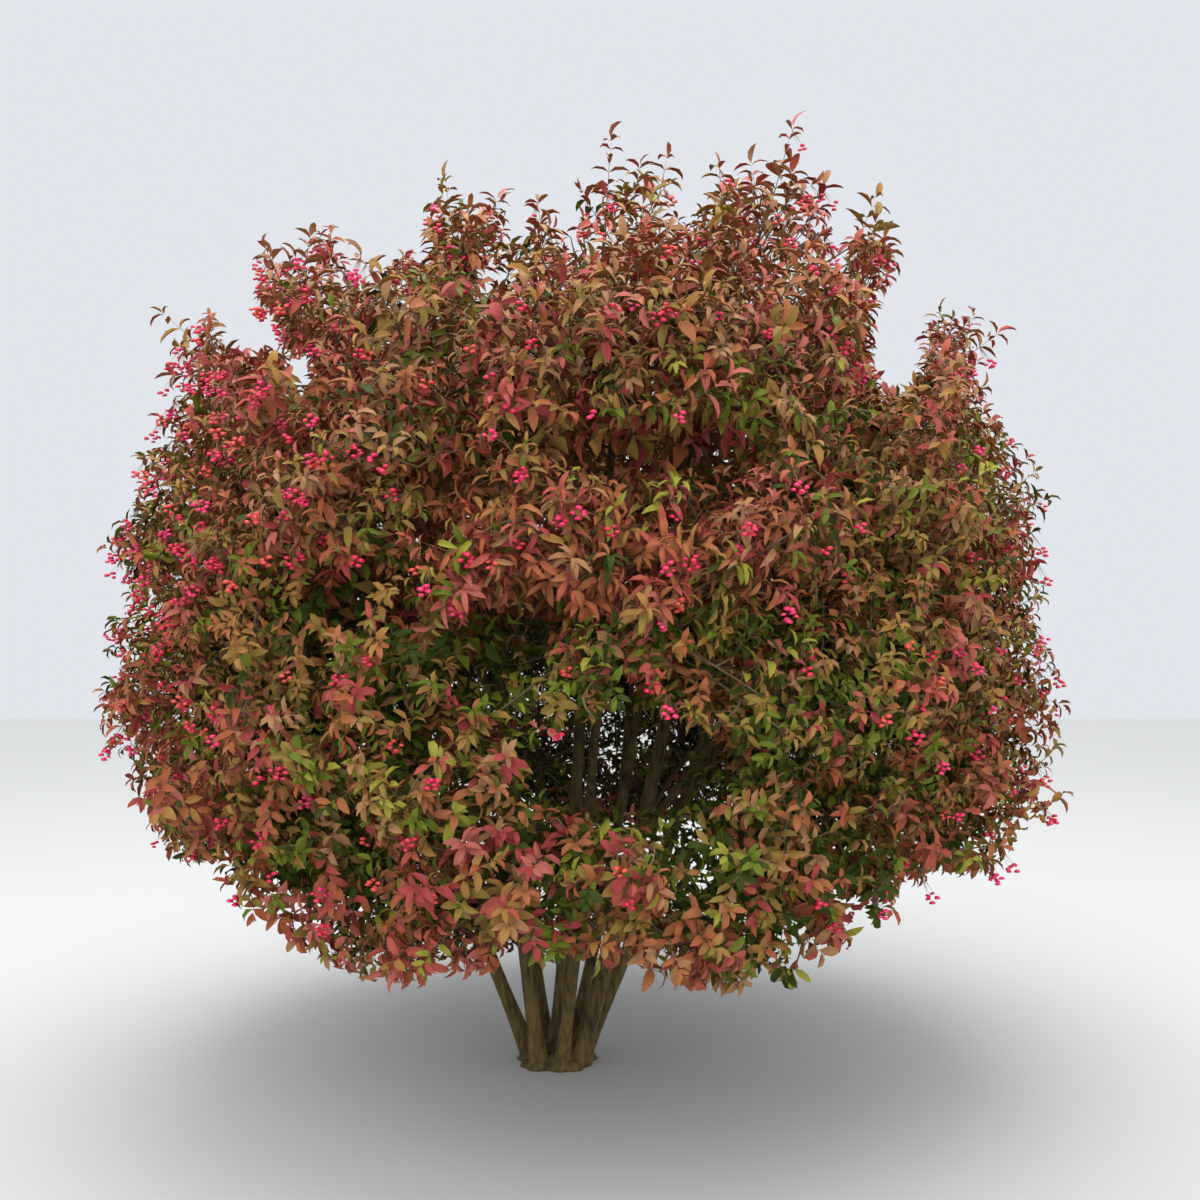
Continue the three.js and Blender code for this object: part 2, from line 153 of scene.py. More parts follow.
# How far each kind of growth may reach into the next mass's space, and how clear of the limbs it keeps.
KEEPS = {
    "twig": (-0.08, 0.012), "shoot": (-0.12, 0.01), "fill": (-0.14, 0.01), "tuft": (-0.1, 0.01),
    "ruff": (-0.03, 0.01),
}
TOP_LOWERED = 0.33
TOP_TILT = 0.4
SHOOT_SPACING = 0.052
SHOOT_LENGTH = 0.2
TUFTS_AT = (0.12, 0.18, 0.42, 0.48)
TUFTS_ON_SHOOTS_OVER = 0.15
RUFF = 6
SHOOT_RISE = (0.5, 0.3, 0.08, 0.0)
SHOOT_BEND = (-0.4, -0.15, 0.1, 0.2)
END_SHOOT_RISE = (1.5, 0.9, 0.1, 0.0)
END_SHOOT_LENGTH = (0.4, 0.34, 0.22, 0.22)
SHOOTS = 6500
SHOOT_SHARE = (0.6, 0.9, 1.2, 1.5)
SPIRE_SLOPE = 0.62
REACH_OVER = 0.08
LUMPS = 0.045
# Where the crown is filled up: how many spots are tried, how deep they lie, from what height up, how bare
# it has to be round them and how far a twig may reach. First under the skin, then in the core.
BARE_OF_TWIGS = {
    "spots": 16000, "depth": (0.1, 0.55), "above": 0.0, "bare": 0.14, "reach": (0.12, 0.75)}
BARE_OF_SHOOTS = {
    "spots": 30000, "depth": (0.02, 0.55), "above": 0.0, "bare": 0.064, "reach": (0.05, 0.34)}
CORE_OF_TWIGS = {
    "spots": 9000, "depth": (0.5, 1.3), "above": 1.5, "bare": 0.2, "reach": (0.12, 0.9)}
CORE_OF_SHOOTS = {
    "spots": 16000, "depth": (0.5, 1.4), "above": 1.4, "bare": 0.112, "reach": (0.05, 0.5)}
CORE_SPACING = 0.036
OPEN_ABOVE = 2.4
OPEN_FADE = 0.29
FILL_FADE = 0.2
GAP_FRAY = 4.0
HEM_Z = 0.62
HEM_SIDES = 0.17
HEM_BACK = 0.07
HEM_LOBES = 0.04
# Radius at the base and at the tip, sides and rings: main twigs, side twigs, and shoots in the spires,
# elsewhere high up and low down.
GIRTHS = (
    (0.0105, 0.0045, 8, 10),
    (0.0046, 0.0024, 4, 6),
    (0.0021, 0.0007, 3, 3),
    (0.002, 0.0009, 3, 2),
    (0.0022, 0.0009, 3, 1),
)
# Half widths along a leaf at shares of its length, finest on the crown's skin and plainest deep inside, and
# the ranks at which one gives way to the next. Short leaves never have the finest, and those that show in
# the low front never have the plainest.
LEAF_OUTLINES = (
    ((0.25, 0.8), (0.52, 1.0), (0.79, 0.62)),
    ((0.32, 0.95), (0.68, 0.85)),
    ((0.5, 1.15),),
)
OUTLINE_RANKS = (0.8, 0.4)
LONG_LEAF = 0.058
LIT_BELOW = 1.2
LIT_BEFORE = 0.1
LEAF_LENGTH = 0.07
LEAF_SIZE = (0.82, 0.76, 0.75, 0.84)
LEAF_RATIO = (0.4, 0.39, 0.4, 0.43)
LEAF_SPACING = (0.029, 0.025, 0.025, 0.026)
SPIRE_LEAF = 1.45
DEEP_LARGER = (1.35, 1.8)
SPIRE_SPACING = 0.038
ROSE_SPACING = 0.021
TO_THE_TIP = (1.15, 1.3, 1.6, 1.7)
LEAF_CURL = (1.05, 1.2, 1.3, 1.3)
LEAF_FOLD = (0.6, 0.6, 0.55, 0.5)
CLUMPS = 170
CLUMPS_BELOW = 1.95
CLUMP_GAP = 0.24
CLUMP_RADIUS = 0.085
CLUMP_LEAF = 1.2
ROSE_SPRAY = {
    "mass": "waist_front", "above": 1.53, "below": 1.88, "left": -0.26, "right": 0.64,
    "larger": 1.5, "narrower": 0.7, "arch": 1.4,
}
CLUSTERS = 1020
CLUSTER_GAP = 0.06
CLUSTER_OUT = 0.035
FRUIT_RADIUS = 0.009
FRUIT_LOWEST = 0.78
STALK_RADIUS = 0.0011
GOLDEN_ANGLE = 2.4

# Bark: name, dark and pale colour, how fine its streaks are, and its relief's strength and height.
BARKS = (
    ("spindle_bark", (46, 37, 14), (108, 89, 42), 70.0, 0.7, 0.002),
    ("twig_bark", (70, 58, 36), (112, 96, 62), 160.0, 0.4, 0.0006),
    ("fruit_stalks", (110, 66, 56), (150, 104, 70), 200.0, 0.2, 0.0003),
)
# Fruit, from the ripest on, and how unripe it is where one tint gives way to the next.
FRUIT_TINTS = (
    ("pink", (222, 44, 98)),
    ("deep_pink", (204, 30, 70)),
    ("coral", (208, 72, 62)),
    ("orange", (216, 124, 70)),
)
UNRIPE_FROM = (0.36, 0.86, 1.22)
# Soft studio light: name, kind, place, aim, strength, and a sun's angle or a square's width.
LIGHTS = (
    ("key", "SUN", (-3.0, -5.5, 7.5), (0, 0, 1.6), 1.16, 50),
    ("fill", "SUN", (3.0, -7.0, 2.6), (0, 0, 1.4), 1.2, 60),
    ("sky", "SUN", (0.0, -2.0, 8.0), (0, 0, 1.6), 0.8, 150),
    ("overhead", "AREA", (0.0, 0.0, 7.5), (0, 0, 1.8), 500, 6),
)
FLOOR_HALF = 14.0
FLOOR_COLOUR = (0.5, 0.5, 0.49, 1)
OVERCAST_COLOUR = (0.80, 0.83, 0.88, 1)
OVERCAST_STRENGTH = 0.95
LENS = 43.05
SENSOR = 36


def draws(seed):
    """Evenly spread numbers from 0 to 1, the same ones as the frame's rings are made with."""
    state = seed & 0xFFFFFFFF
    while True:
        state = (state + 0x6D2B79F5) & 0xFFFFFFFF
        mixed = ((state ^ (state >> 15)) * (state | 1)) & 0xFFFFFFFF
        mixed ^= (mixed + (((mixed ^ (mixed >> 7)) * (mixed | 61)) & 0xFFFFFFFF)) & 0xFFFFFFFF
        yield ((mixed ^ (mixed >> 14)) & 0xFFFFFFFF) / 4294967296


def span(v):
    """Each vector's own length."""
    return np.linalg.norm(v, axis=-1)


def unit(v):
    """Each vector divided by its own length."""
    return v / np.maximum(span(v), 1e-9)[..., None]


def turned(angle, first, second):
    """The direction at an angle from the first towards the second: cos(a) first + sin(a) second."""
    return np.cos(angle)[..., None] * first + np.sin(angle)[..., None] * second


def once_round(sides):
    """Even angles from 0 up to a full turn."""
    return np.linspace(0, 2 * np.pi, sides, endpoint=False)


def ramp(value, start, width, more=0.0):
    """A share that runs from 0 at the start to 1 a width further on; a negative width runs downwards."""
    return np.clip((value - start) / width + more, 0, 1)


def curve_point(curve, t):
    """Quadratic Bezier: (1-t)^2 root + 2t(1-t) control + t^2 tip, for curves [n, 3, 3] and t [n, k]."""
    t = t[..., None]
    return (1 - t) ** 2 * curve[:, None, 0] + 2 * t * (1 - t) * curve[:, None, 1] + t**2 * curve[:, None, 2]


def curve_tangent(curve, t):
    """Direction of the same curve: from (control - root) at t = 0 turning to (tip - control) at t = 1."""
    t = t[..., None]
    first = (curve[:, 1] - curve[:, 0])[:, None]
    second = (curve[:, 2] - curve[:, 1])[:, None]
    return unit((1 - t) * first + t * second)


def curve_length(curve):
    """A third of twice the chord plus the two legs."""
    root, control, tip = curve[:, 0], curve[:, 1], curve[:, 2]
    return (2 * span(tip - root) + (span(control - root) + span(tip - control))) / 3


def curve_across(curve):
    """The normal of the plane that each curve lies in, or a level direction where it is straight."""
    first, second = curve[:, 1] - curve[:, 0], curve[:, 2] - curve[:, 1]
    across = np.cross(first, second)
    straight = span(across) < 1e-3 * span(first) * span(second)
    other = np.cross(first, UP + np.array((0.02, 0.01, 0.0)))
    return unit(np.where(straight[:, None], other, across))


def along(parents, t):
    """The point and the direction at one t on each parent."""
    return curve_point(parents, t[:, None])[:, 0], curve_tangent(parents, t[:, None])[:, 0]


def level_frame(direction):
    """A level vector square to each direction, and the one that is square to both and points up."""
    side = unit(np.cross(direction, UP) + 1e-6)
    return side, np.cross(side, direction)


def round_crown(points):
    """How far round the crown's axis each point is, as an angle, and how far out from it."""
    aside, away = points[..., 0] - CROWN_SHIFT, points[..., 1]
    return np.arctan2(away, aside), np.hypot(aside, away)


def dome(share):
    """The other half size of the crown's egg shape at a share of one: (1 - s^p)^(1/p), with s up to 1."""
    return (1 - np.minimum(1, share) ** DOME_POWER) ** (1 / DOME_POWER)


def crown_radius(z):
    """Radius of the dome at a height, by its share of the way from the widest part to the top or foot."""
    depth = np.where(z > CROWN_WIDEST_Z, CROWN_DOME_Z - CROWN_WIDEST_Z, CROWN_WIDEST_Z - CROWN_UNDER_Z)
    return CROWN_RADIUS * dome(np.abs(z - CROWN_WIDEST_Z) / depth)


def crown_depth(points):
    """How far a point lies inside the dome, level or straight up, whichever is less."""
    out = round_crown(points)[1]
    top = CROWN_WIDEST_Z + (CROWN_DOME_Z - CROWN_WIDEST_Z) * dome(out / CROWN_RADIUS)
    return np.maximum(0, np.minimum(crown_radius(points[:, 2]) - out, top - points[:, 2]))


def plan_masses():
    """Names, tiers, girths and points of every mass of foliage, by the same rule as the frame."""
    masses = []
    for name, reach, girth in LEADERS:
        tip = np.array(reach)
        heart = np.array((tip[0] * LEADER_HEART_SHARE, tip[1] * LEADER_HEART_SHARE, LEADER_HEART_Z))
        masses.append({"tier": "leader", "name": "top_" + name, "tip": tip, "heart": heart, "girth": girth})
    for level, ring in enumerate(RINGS):
        draw = draws(700 + level)
        for step, name in enumerate(ring["names"]):
            off = {key: most * (next(draw) - 0.5) for key, most in RING_JITTER.items()}
            turn = math.radians(ring["turn"] + 360 / len(ring["names"]) * step + off["turn"])
            radius = ring["radius"] * (1 + off["radius"])
            across, away = CROWN_SHIFT + radius * math.cos(turn), radius * math.sin(turn)
            masses.append({
                "tier": ring["tier"], "name": ring["tier"] + "_" + name, "girth": ring["girth"],
                "tip": np.array((across, away, ring["height"] + off["height"])),
                "heart": np.array((RING_HEART_SHARE * CROWN_SHIFT, 0, ring["heart"])),
                "leaves": ring["leaves"] + off["leaves"],
            })
    for mass in masses:
        mass["entry"] = mass["tip"] + ENTRY_SHARE[mass["tier"]] * (mass["heart"] - mass["tip"])
        mass["seed"] = mass["tip"] + SEED_SHARE * (mass["entry"] - mass["tip"])
    return masses


def plan_stem(mass):
    """A stem's curve from its foot on the collar: it leans out early and then bends upwards."""
    lean = mass["entry"] * (1, 1, 0)
    foot = unit(lean) * (0 if mass["name"] == "top_centre" else FOOT_CIRCLE)
    control = foot + STEM_LEAN * (lean - foot)
    control[2] = STEM_BEND_HEIGHT * mass["entry"][2]
    curve = np.array((foot, control, mass["entry"]))
    length = curve_length(curve[None])[0]

    def radius_at(t):
        """Even taper from girth to tip, times 1 + flare (1 - height / flare height)^2."""
        flare = FLARE * np.maximum(0, 1 - np.maximum(t, 0) * length / FLARE_HEIGHT) ** 2
        return (mass["girth"] + (LIMB_TIP_RADIUS - mass["girth"]) * np.maximum(t, 0)) * (1 + flare)

    return {"curve": curve, "radius_at": radius_at, "boughs": {}}


def plan_bough(mass, leaders, stems):
    """A bough's curve from the outer stem nearest to it round the crown, bowed upwards."""
    middle = RING_HEART_SHARE * CROWN_SHIFT

    def cost(leader):
        """How far round a leader's stem is, and half a radian for each bough that it has in the ring."""
        bearings = [math.atan2(m["entry"][1], m["entry"][0] - middle) for m in (leader, mass)]
        turn = abs(bearings[0] - bearings[1])
        return min(turn, 2 * math.pi - turn) + 0.5 * stems[leader["name"]]["boughs"].get(mass["tier"], 0)

    leader = min((m for m in leaders if m["name"] != "top_centre"), key=cost)
    stem = stems[leader["name"]]
    taken = stem["boughs"].get(mass["tier"], 0)
    stem["boughs"][mass["tier"]] = taken + 1
    ts = np.arange(0, 1, 0.002)
    heights = curve_point(stem["curve"][None], ts[None])[0, :, 2]
    t = ts[np.argmax(heights >= mass["leaves"] + BOUGH_STAGGER * taken)]
    root = curve_point(stem["curve"][None], np.array([[t]]))[0, 0]
    bow = BOUGH_BOW * span(mass["entry"] - root)
    curve = np.array((root, (root + mass["entry"]) / 2 + bow * UP, mass["entry"]))
    start = min(mass["girth"], BOUGH_TO_STEM * float(stem["radius_at"](t)))
    return {"curve": curve, "radius_at": lambda s: start + (LIMB_TIP_RADIUS - start) * s}


# Meshes from whole arrays.

def tube_faces(rings, sides):
    """Triangles of a closed tube: two for each cell of the grid and a fan to a pole at each end."""
    ring, side = np.meshgrid(np.arange(rings - 1), np.arange(sides), indexing="ij")
    a, b = ring * sides + side, ring * sides + (side + 1) % sides
    c, d = a + sides, b + sides
    wall = np.concatenate((np.stack((a, b, d), -1).reshape(-1, 3), np.stack((a, d, c), -1).reshape(-1, 3)))
    k, k1 = np.arange(sides), (np.arange(sides) + 1) % sides
    foot, tip = rings * sides, rings * sides + 1
    last = (rings - 1) * sides
    low = np.stack((np.full(sides, foot), k1, k), -1)
    high = np.stack((np.full(sides, tip), last + k, last + k1), -1)
    return np.concatenate((wall, low, high))


def many(template, count, stride):
    """The faces of one small shape repeated for many, each moved on by the number of its corners."""
    return (template[None] + (np.arange(count) * stride)[:, None, None]).reshape(-1, 3)


def fine_tubes(curves, base, tip, sides, rings, pointed=False):
    """Tapering round twigs: centre(t) + r(t) (cos a N + sin a B), r running evenly from base to tip, closed
    by a pole at each end. A pointed one leaves out the last ring, so its wall runs to the pole."""
    n = len(curves)
    t = np.tile(np.linspace(0, 1, rings + pointed)[:rings], (n, 1))
    centre = curve_point(curves, t)
    across = curve_across(curves)[:, None]
    normal = np.cross(np.broadcast_to(across, centre.shape), curve_tangent(curves, t))
    radius = base + (tip - base) * t
    a = once_round(sides)[None, None]
    around = turned(a, normal[:, :, None], -across[:, :, None])
    wall = centre[:, :, None] + radius[:, :, None, None] * around
    corners = np.concatenate((wall.reshape(n, -1, 3), curves[:, :1], curves[:, 2:]), 1)
    return corners.reshape(-1, 3), many(tube_faces(rings, sides), n, rings * sides + 2)


def in_scene(name, data):
    """A new object that shows a mesh, a light or a camera."""
    thing = bpy.data.objects.new(name, data)
    bpy.context.scene.collection.objects.link(thing)
    return thing


def fill_in(things, name, rows, kind):
    """One value of every corner, edge or face at once, from an array."""
    things.foreach_set(name, np.ascontiguousarray(rows, dtype=kind).ravel())


def make_piece(name, corners, faces, material, nodes, slot, uv=None):
    """One mesh of triangles that rides on the plant and stands for the frame's nodes."""
    mesh = bpy.data.meshes.new(name)
    mesh.vertices.add(len(corners))
    fill_in(mesh.vertices, "co", corners, np.float32)
    mesh.loops.add(len(faces) * 3)
    fill_in(mesh.loops, "vertex_index", faces, np.int32)
    mesh.polygons.add(len(faces))
    fill_in(mesh.polygons, "loop_start", np.arange(0, 3 * len(faces), 3), np.int32)
    fill_in(mesh.polygons, "use_smooth", np.full(len(faces), True), bool)
    if uv is not None:
        fill_in(mesh.uv_layers.new(name="blade").data, "uv", uv[faces.ravel()], np.float32)
    mesh.update(calc_edges=True)
    mesh.materials.append(material)
    piece = in_scene(name, mesh)
    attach(piece, "root")
    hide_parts(*nodes)


# Bark: stems, boughs and the collar.

def bark_relief(a, run, seed):
    """Upright furrows that wander: sum of ridges |sin(k a + wander(run))| and of low swellings."""
    wander = 0.9 * np.sin(5.1 * run + seed) + 0.5 * np.sin(13.7 * run + 2.3 * seed)
    ridges = np.abs(np.sin(3.5 * a + wander)) ** 0.8 - 0.64
    fine = np.sin(9 * a - 1.7 * wander + 3 * np.sin(21 * run)) * np.sin(34 * run + 2 * a + seed)
    swell = np.sin(17 * run + seed) * np.sin(2 * a + 1.3 * seed)
    return 0.055 * ridges + 0.02 * fine + 0.03 * swell


def bark_tube(limb, seed, sides, rings, flat_foot=False):
    """A limb with bark: r(t) (1 + relief) round its curve. A flat foot has its first rings level."""
    curve = limb["curve"][None]
    length = curve_length(curve)[0]
    t = np.linspace(0, 1, rings)
    centre = curve_point(curve, t[None])[0]
    tangent = curve_tangent(curve, t[None])[0]
    if flat_foot:
        ease = ramp(t * length, 0, 0.12)[:, None]
        tangent = unit(ease * tangent + (1 - ease) * UP)
    across = curve_across(curve)[0]
    across = unit(across - tangent * (tangent @ across)[:, None])
    normal = np.cross(across, tangent)
    a = once_round(sides)[None]
    radius = limb["radius_at"](t)[:, None] * (1 + bark_relief(a, (t * length)[:, None], seed))
    around = turned(a, normal[:, None], -across[:, None])
    wall = centre[:, None] + radius[..., None] * around
    corners = np.concatenate((wall.reshape(-1, 3), centre[:1], centre[-1:]))
    return corners, tube_faces(rings, sides)


def joined(parts):
    """Several meshes as one: their corners in a row, each one's faces moved on to match, and their maps."""
    starts = np.cumsum([0] + [len(part[0]) for part in parts[:-1]])
    faces = np.concatenate([part[1] + start for part, start in zip(parts, starts)])
    return (np.concatenate([part[0] for part in parts]), faces) + tuple(
        np.concatenate([part[2] for part in parts]) for _ in parts[0][2:])


def mound_surface(sides, rings):
    """A low mound: height H (1 - (r/R)^2)^0.6 with lumps round it, closed by a flat underside."""
    a = once_round(sides)[None]
    share = np.linspace(1, 0.04, rings)[:, None]
    uneven = 1 + 0.07 * np.sin(5 * a + 0.6) + 0.04 * np.sin(11 * a + 2 * share * 6)
    radius = MOUND_RADIUS * share * uneven
    height = MOUND_HEIGHT * (1 - share**2) ** 0.6 * (1 + 0.12 * np.sin(7 * a + 9 * share))
    wall = np.stack((radius * np.cos(a), radius * np.sin(a), height + 0 * a), -1)
    poles = np.array(((0, 0, 0.0), (0, 0, MOUND_HEIGHT)))
    return np.concatenate((wall.reshape(-1, 3), poles)), tube_faces(rings, sides)


# Growth of the foliage inside the masses' spaces.

def lumps(points):
    """Low swellings of the crown's skin: sin(6 turn) sin(4.4 z) and a finer sin(11 turn + 5 z)."""
    turn, z = round_crown(points)[0], points[..., 2]
    return LUMPS * (np.sin(6 * turn + 1.1) * np.sin(4.4 * z + 0.7) + 0.6 * np.sin(11 * turn + 5 * z))


def hem_height(points):
    """The hem's height: it rises by s^2 (3 - 2s) to both sides and to the back, with shallow lobes."""
    aside = ramp(np.abs(points[..., 0] - CROWN_SHIFT), 0.55, 0.5)
    behind = ramp(points[..., 1], -0.3, 1.5)
    turn = round_crown(points)[0]
    lobes = np.sin(7 * turn + 0.4) + 0.6 * behind * np.sin(13 * turn + 1.0)
    risen = np.maximum(HEM_SIDES * aside**2 * (3 - 2 * aside), HEM_BACK * behind**2 * (3 - 2 * behind))
    return HEM_Z + risen + HEM_LOBES * lobes


def held(points, mass_of, margin, over, lowered):
    """Which points lie in the crown, above the hem and nearer to their own mass's seed than to another's,
    and outside the hollows. A leader's points also stay below a cone from its tip. Over is how far outside
    the dome they may go, a little way into the outline's gaps too. Lowered is how far the dome's upper
    part comes down for them, less to the right."""
    inside = (points > CROWN_BOX[0]).all(-1) & (points < CROWN_BOX[1]).all(-1)
    inside &= points[..., 2] > hem_height(points)
    for middle, half in HOLLOWS:
        inside &= (((points - middle) / half) ** 2).sum(-1) > 1
    seen = (points - VIEWED_FROM) / (points[..., 1:2] / -VIEWED_FROM[1] + 1) + VIEWED_FROM
    for x, z, wide, high in OUTLINE_GAPS:
        off = ((seen[..., 0] - x) / wide) ** 2 + ((seen[..., 2] - z) / high) ** 2
        inside &= off > 1 - GAP_FRAY * over[:, None]
    lowered = lowered[:, None] * (1 - TOP_TILT * points[..., 0])
    upper = ramp(points[..., 2], 1.7, 0.6)
    skin = crown_radius(points[..., 2] + lowered * upper) + over[:, None] + lumps(points)
    inside &= round_crown(points)[1] < skin
    far = ((points[:, :, None] - SEEDS) ** 2).sum(-1)
    own = np.take_along_axis(far, mass_of[:, None, None].repeat(points.shape[1], 1), 2)
    apart = 2 * span(SEEDS[mass_of][:, None] - SEEDS)
    rows = np.arange(len(points))
    tips = TIPS[mass_of][:, None]
    cone = tips[..., 2] - SPIRE_SLOPE * span(points[..., :2] - tips[..., :2]) - lowered + 0.03
    inside &= (TIER_OF[mass_of][:, None] > 0) | (points[..., 2] < cone)
    nearer = (far - own) / np.maximum(apart, 1e-9)[:, None]
    nearer[rows, :, mass_of] = 1.0
    return inside & (nearer > margin).all(-1)


def gaps_between(points, others):
    """Distances from points to all the others, so many points at a time: |p - q|^2 = p.p + q.q - 2 p.q."""
    for start in range(0, len(points), AT_ONCE):
        part = points[start:start + AT_ONCE]
        far = (part**2).sum(-1)[:, None] + (others**2).sum(-1) - 2 * part @ others.T
        yield slice(start, start + AT_ONCE), np.sqrt(np.maximum(far, 0))


def clear(points, margin):
    """Which points keep a distance from every limb."""
    gaps = gaps_between(points.reshape(-1, 3), LIMB_POINTS)
    free = [(far - LIMB_RADII > margin).all(-1) for _, far in gaps]
    return np.concatenate(free).reshape(points.shape[:-1])


def fitted(curves, mass_of, over, lowered, kind):
    """Each curve shortened to the largest of a few shares that its mass holds: the curves that have one,
    their masses and which ones they are. Over and lowered are one number or a row of them."""
    over, lowered = (np.broadcast_to(one, len(curves)) for one in (over, lowered))
    margin, gap = KEEPS[kind]
    chosen = np.zeros(len(curves))
    for share in SHRINK:
        open_ = np.flatnonzero(chosen == 0)
        if not len(open_):
            break
        shorter = curves[open_, :1] + share * (curves[open_] - curves[open_, :1])
        points = curve_point(shorter, np.tile(TRIED_AT, (len(open_), 1)))
        good = held(points, mass_of[open_], margin, over[open_], lowered[open_]) & clear(points, gap)
        chosen[open_[good.all(-1)]] = share
    placed = np.flatnonzero(chosen)
    root = curves[placed, :1]
    return root + chosen[placed, None, None] * (curves[placed] - root), mass_of[placed], placed


def bent(root, forward, length, bend):
    """A curve that sets out forward and ends turned down by bend, or up where bend is negative."""
    control = root + forward * (length / 2)[:, None]
    onward = unit(forward - np.multiply.outer(bend, UP))
    return np.stack((root, control, control + onward * (length / 2)[:, None]), 1)


def by_tier(values, mass_of):
    """The one of four values that belongs to each mass's tier."""
    return np.take(np.array(values, dtype=float), TIER_OF[mass_of])


def main_twigs():
    """Each mass's main twig: on from its limb's tip as the limb runs, then bending to the mass's tip."""
    curves = []
    for mass in MASSES:
        limb = LIMBS[mass["name"]]["curve"]
        heading = unit(limb[2] - limb[1])
        root = mass["entry"] + heading * 0.0003
        end = mass["tip"] - unit(mass["tip"] - root) * SHOOT_SPACE[TIERS.index(mass["tier"])]
        curves.append((root, root + heading * 0.45 * span(end - root), end))
    return np.array(curves)


def side_twigs(mains, rng):
    """Opposite pairs along each main twig, a quarter turn from pair to pair, lifted or drooping by tier."""
    pairs = by_tier(TWIG_PAIRS, np.arange(len(mains))).astype(int)
    mass_of, step, hand = in_pairs(pairs)
    n = len(mass_of)
    t = 0.04 + 0.93 * (step + 0.15 + 0.7 * rng.random(n)) / pairs[mass_of]
    spin = np.radians(90 * step + 40 + 40 * (rng.random(n) - 0.5))
    angle = by_tier(TWIG_ANGLE, mass_of) - 16 * t + 12 * (rng.random(n) - 0.5)
    angle = np.radians(angle + 42 * np.maximum(0, 1 - t / 0.25))
    length = by_tier(TWIG_LENGTH, mass_of) * (1 - 0.45 * t**2) * (0.75 + 0.4 * rng.random(n))
    parents = mains[mass_of]
    root, tangent = along(parents, t)
    across = curve_across(parents)
    normal = np.cross(across, tangent)
    upright = (by_tier(TWIG_SPREAD, mass_of) * np.cos(spin))[:, None]
    aside = hand[:, None] * unit(upright * normal + np.sin(spin)[:, None] * across)
    upper = aside[:, 2] > 0
    forward = unit(turned(angle, tangent, aside) + 0.18 * upper[:, None] * UP)
    lift = np.where(upper, by_tier(TWIG_LIFT, mass_of), -by_tier(TWIG_DROOP, mass_of))
    over = 0.1 * rng.random(n) - 0.05
    lowered = TOP_LOWERED * (by_tier(TWIG_BELOW, mass_of) + 0.4 * rng.random(n))
    return fitted(bent(root, forward, length, -lift), mass_of, over, lowered, "twig")[:2]


def both(*lots):
    """Several lots of growth as one: their curves, and the mass of each."""
    return tuple(np.concatenate(rows) for rows in zip(*lots))


def counted_out(counts):
    """For things with so many parts each, a row for each part: which thing, and which of its parts."""
    owner = np.repeat(np.arange(len(counts)), counts)
    return owner, np.arange(len(owner)) - np.repeat(np.cumsum(counts) - counts, counts)


def in_pairs(pairs):
    """For stems with so many pairs on them, a row for each twig: which stem, which pair and which side."""
    owner, order = counted_out(2 * pairs)
    return owner, order // 2, 1 - 2 * (order % 2)


def one_to_a_cell(points, size):
    """Which points are the first ones in the cells of an even grid."""
    return np.unique(np.floor(points / size).astype(int), axis=0, return_index=True)[1]


def leafy_shoots(twigs, mass_of, rng):
    """Pairs of shoots at even steps along each twig and one that carries on from its tip: upright on the
    leaders, level or drooping further down. The skin of the crown keeps more of them than its middle."""
    pairs = np.maximum(1, np.round(curve_length(twigs) / SHOOT_SPACING)).astype(int)
    owner, step, hand = in_pairs(pairs)
    n = len(owner)
    t = (step + 0.4 + 0.5 * rng.random(n)) / pairs[owner]
    spin = np.radians(75) * (step % 2) + 0.9 * (rng.random(n) - 0.5)
    angle = np.radians(56 - 16 * t + 22 * (rng.random(n) - 0.5))
    length = SHOOT_LENGTH * (1 - 0.25 * t) * (0.55 + 0.8 * rng.random(n))
    ends = np.arange(len(twigs))
    ones = np.ones(len(ends))
    at_end = np.arange(n + len(ends)) >= n
    owner, t, spin = np.hstack((owner, ends)), np.hstack((t, ones)), np.hstack((spin, 0 * ones))
    hand, angle = np.hstack((hand, ones)), np.hstack((angle, 0 * ones))
    end_length = by_tier(END_SHOOT_LENGTH, mass_of) * (0.35 + 0.75 * rng.random(len(ends)) ** 1.5)
    length = np.hstack((length, end_length))
    parents = twigs[owner]
    root, tangent = along(parents, t)
    side, above = level_frame(tangent)
    aside = hand[:, None] * turned(spin, side, above)
    mass_of = mass_of[owner]
    rise = np.where(at_end, by_tier(END_SHOOT_RISE, mass_of), by_tier(SHOOT_RISE, mass_of))
    forward = unit(turned(angle, tangent, aside) + rise[:, None] * UP)
    bend = by_tier(SHOOT_BEND, mass_of) + 0.4 * (rng.random(len(mass_of)) - 0.5)
    over = REACH_OVER * (1.2 * rng.random(len(mass_of)) - 0.3)
    lowered = TOP_LOWERED * np.where(at_end, 0, 0.4 + 0.5 * rng.random(len(mass_of)))
    curves = bent(root, forward, length, bend)
    curves, mass_of, placed = fitted(curves, mass_of, over, lowered, "shoot")
    at_end = at_end[placed]
    chance = np.exp(-crown_depth(curves[:, 2]) / 0.5) * by_tier(SHOOT_SHARE, mass_of) + 2 * at_end
    chance *= crowding(curves[:, 2]) ** -0.5 * openness(curves[:, 2], OPEN_FADE)
    number = min(SHOOTS, len(curves))
    kept = np.sort(rng.choice(len(curves), number, replace=False, p=chance / chance.sum()))
    return curves[kept], mass_of[kept], at_end[kept]


def openness(points, fade):
    """How much of its growth the crown keeps: all of it up to OPEN_ABOVE, then exp(-rise / fade)."""
    return np.exp(-np.maximum(0, points[:, 2] - OPEN_ABOVE) / fade)


def closest(points, others):
    """For each point, which of the others is closest and how far it is."""
    which, gap = np.empty(len(points), dtype=int), np.empty(len(points))
    for some, far in gaps_between(points, others):
        which[some], gap[some] = far.argmin(1), far.min(1)
    return which, gap


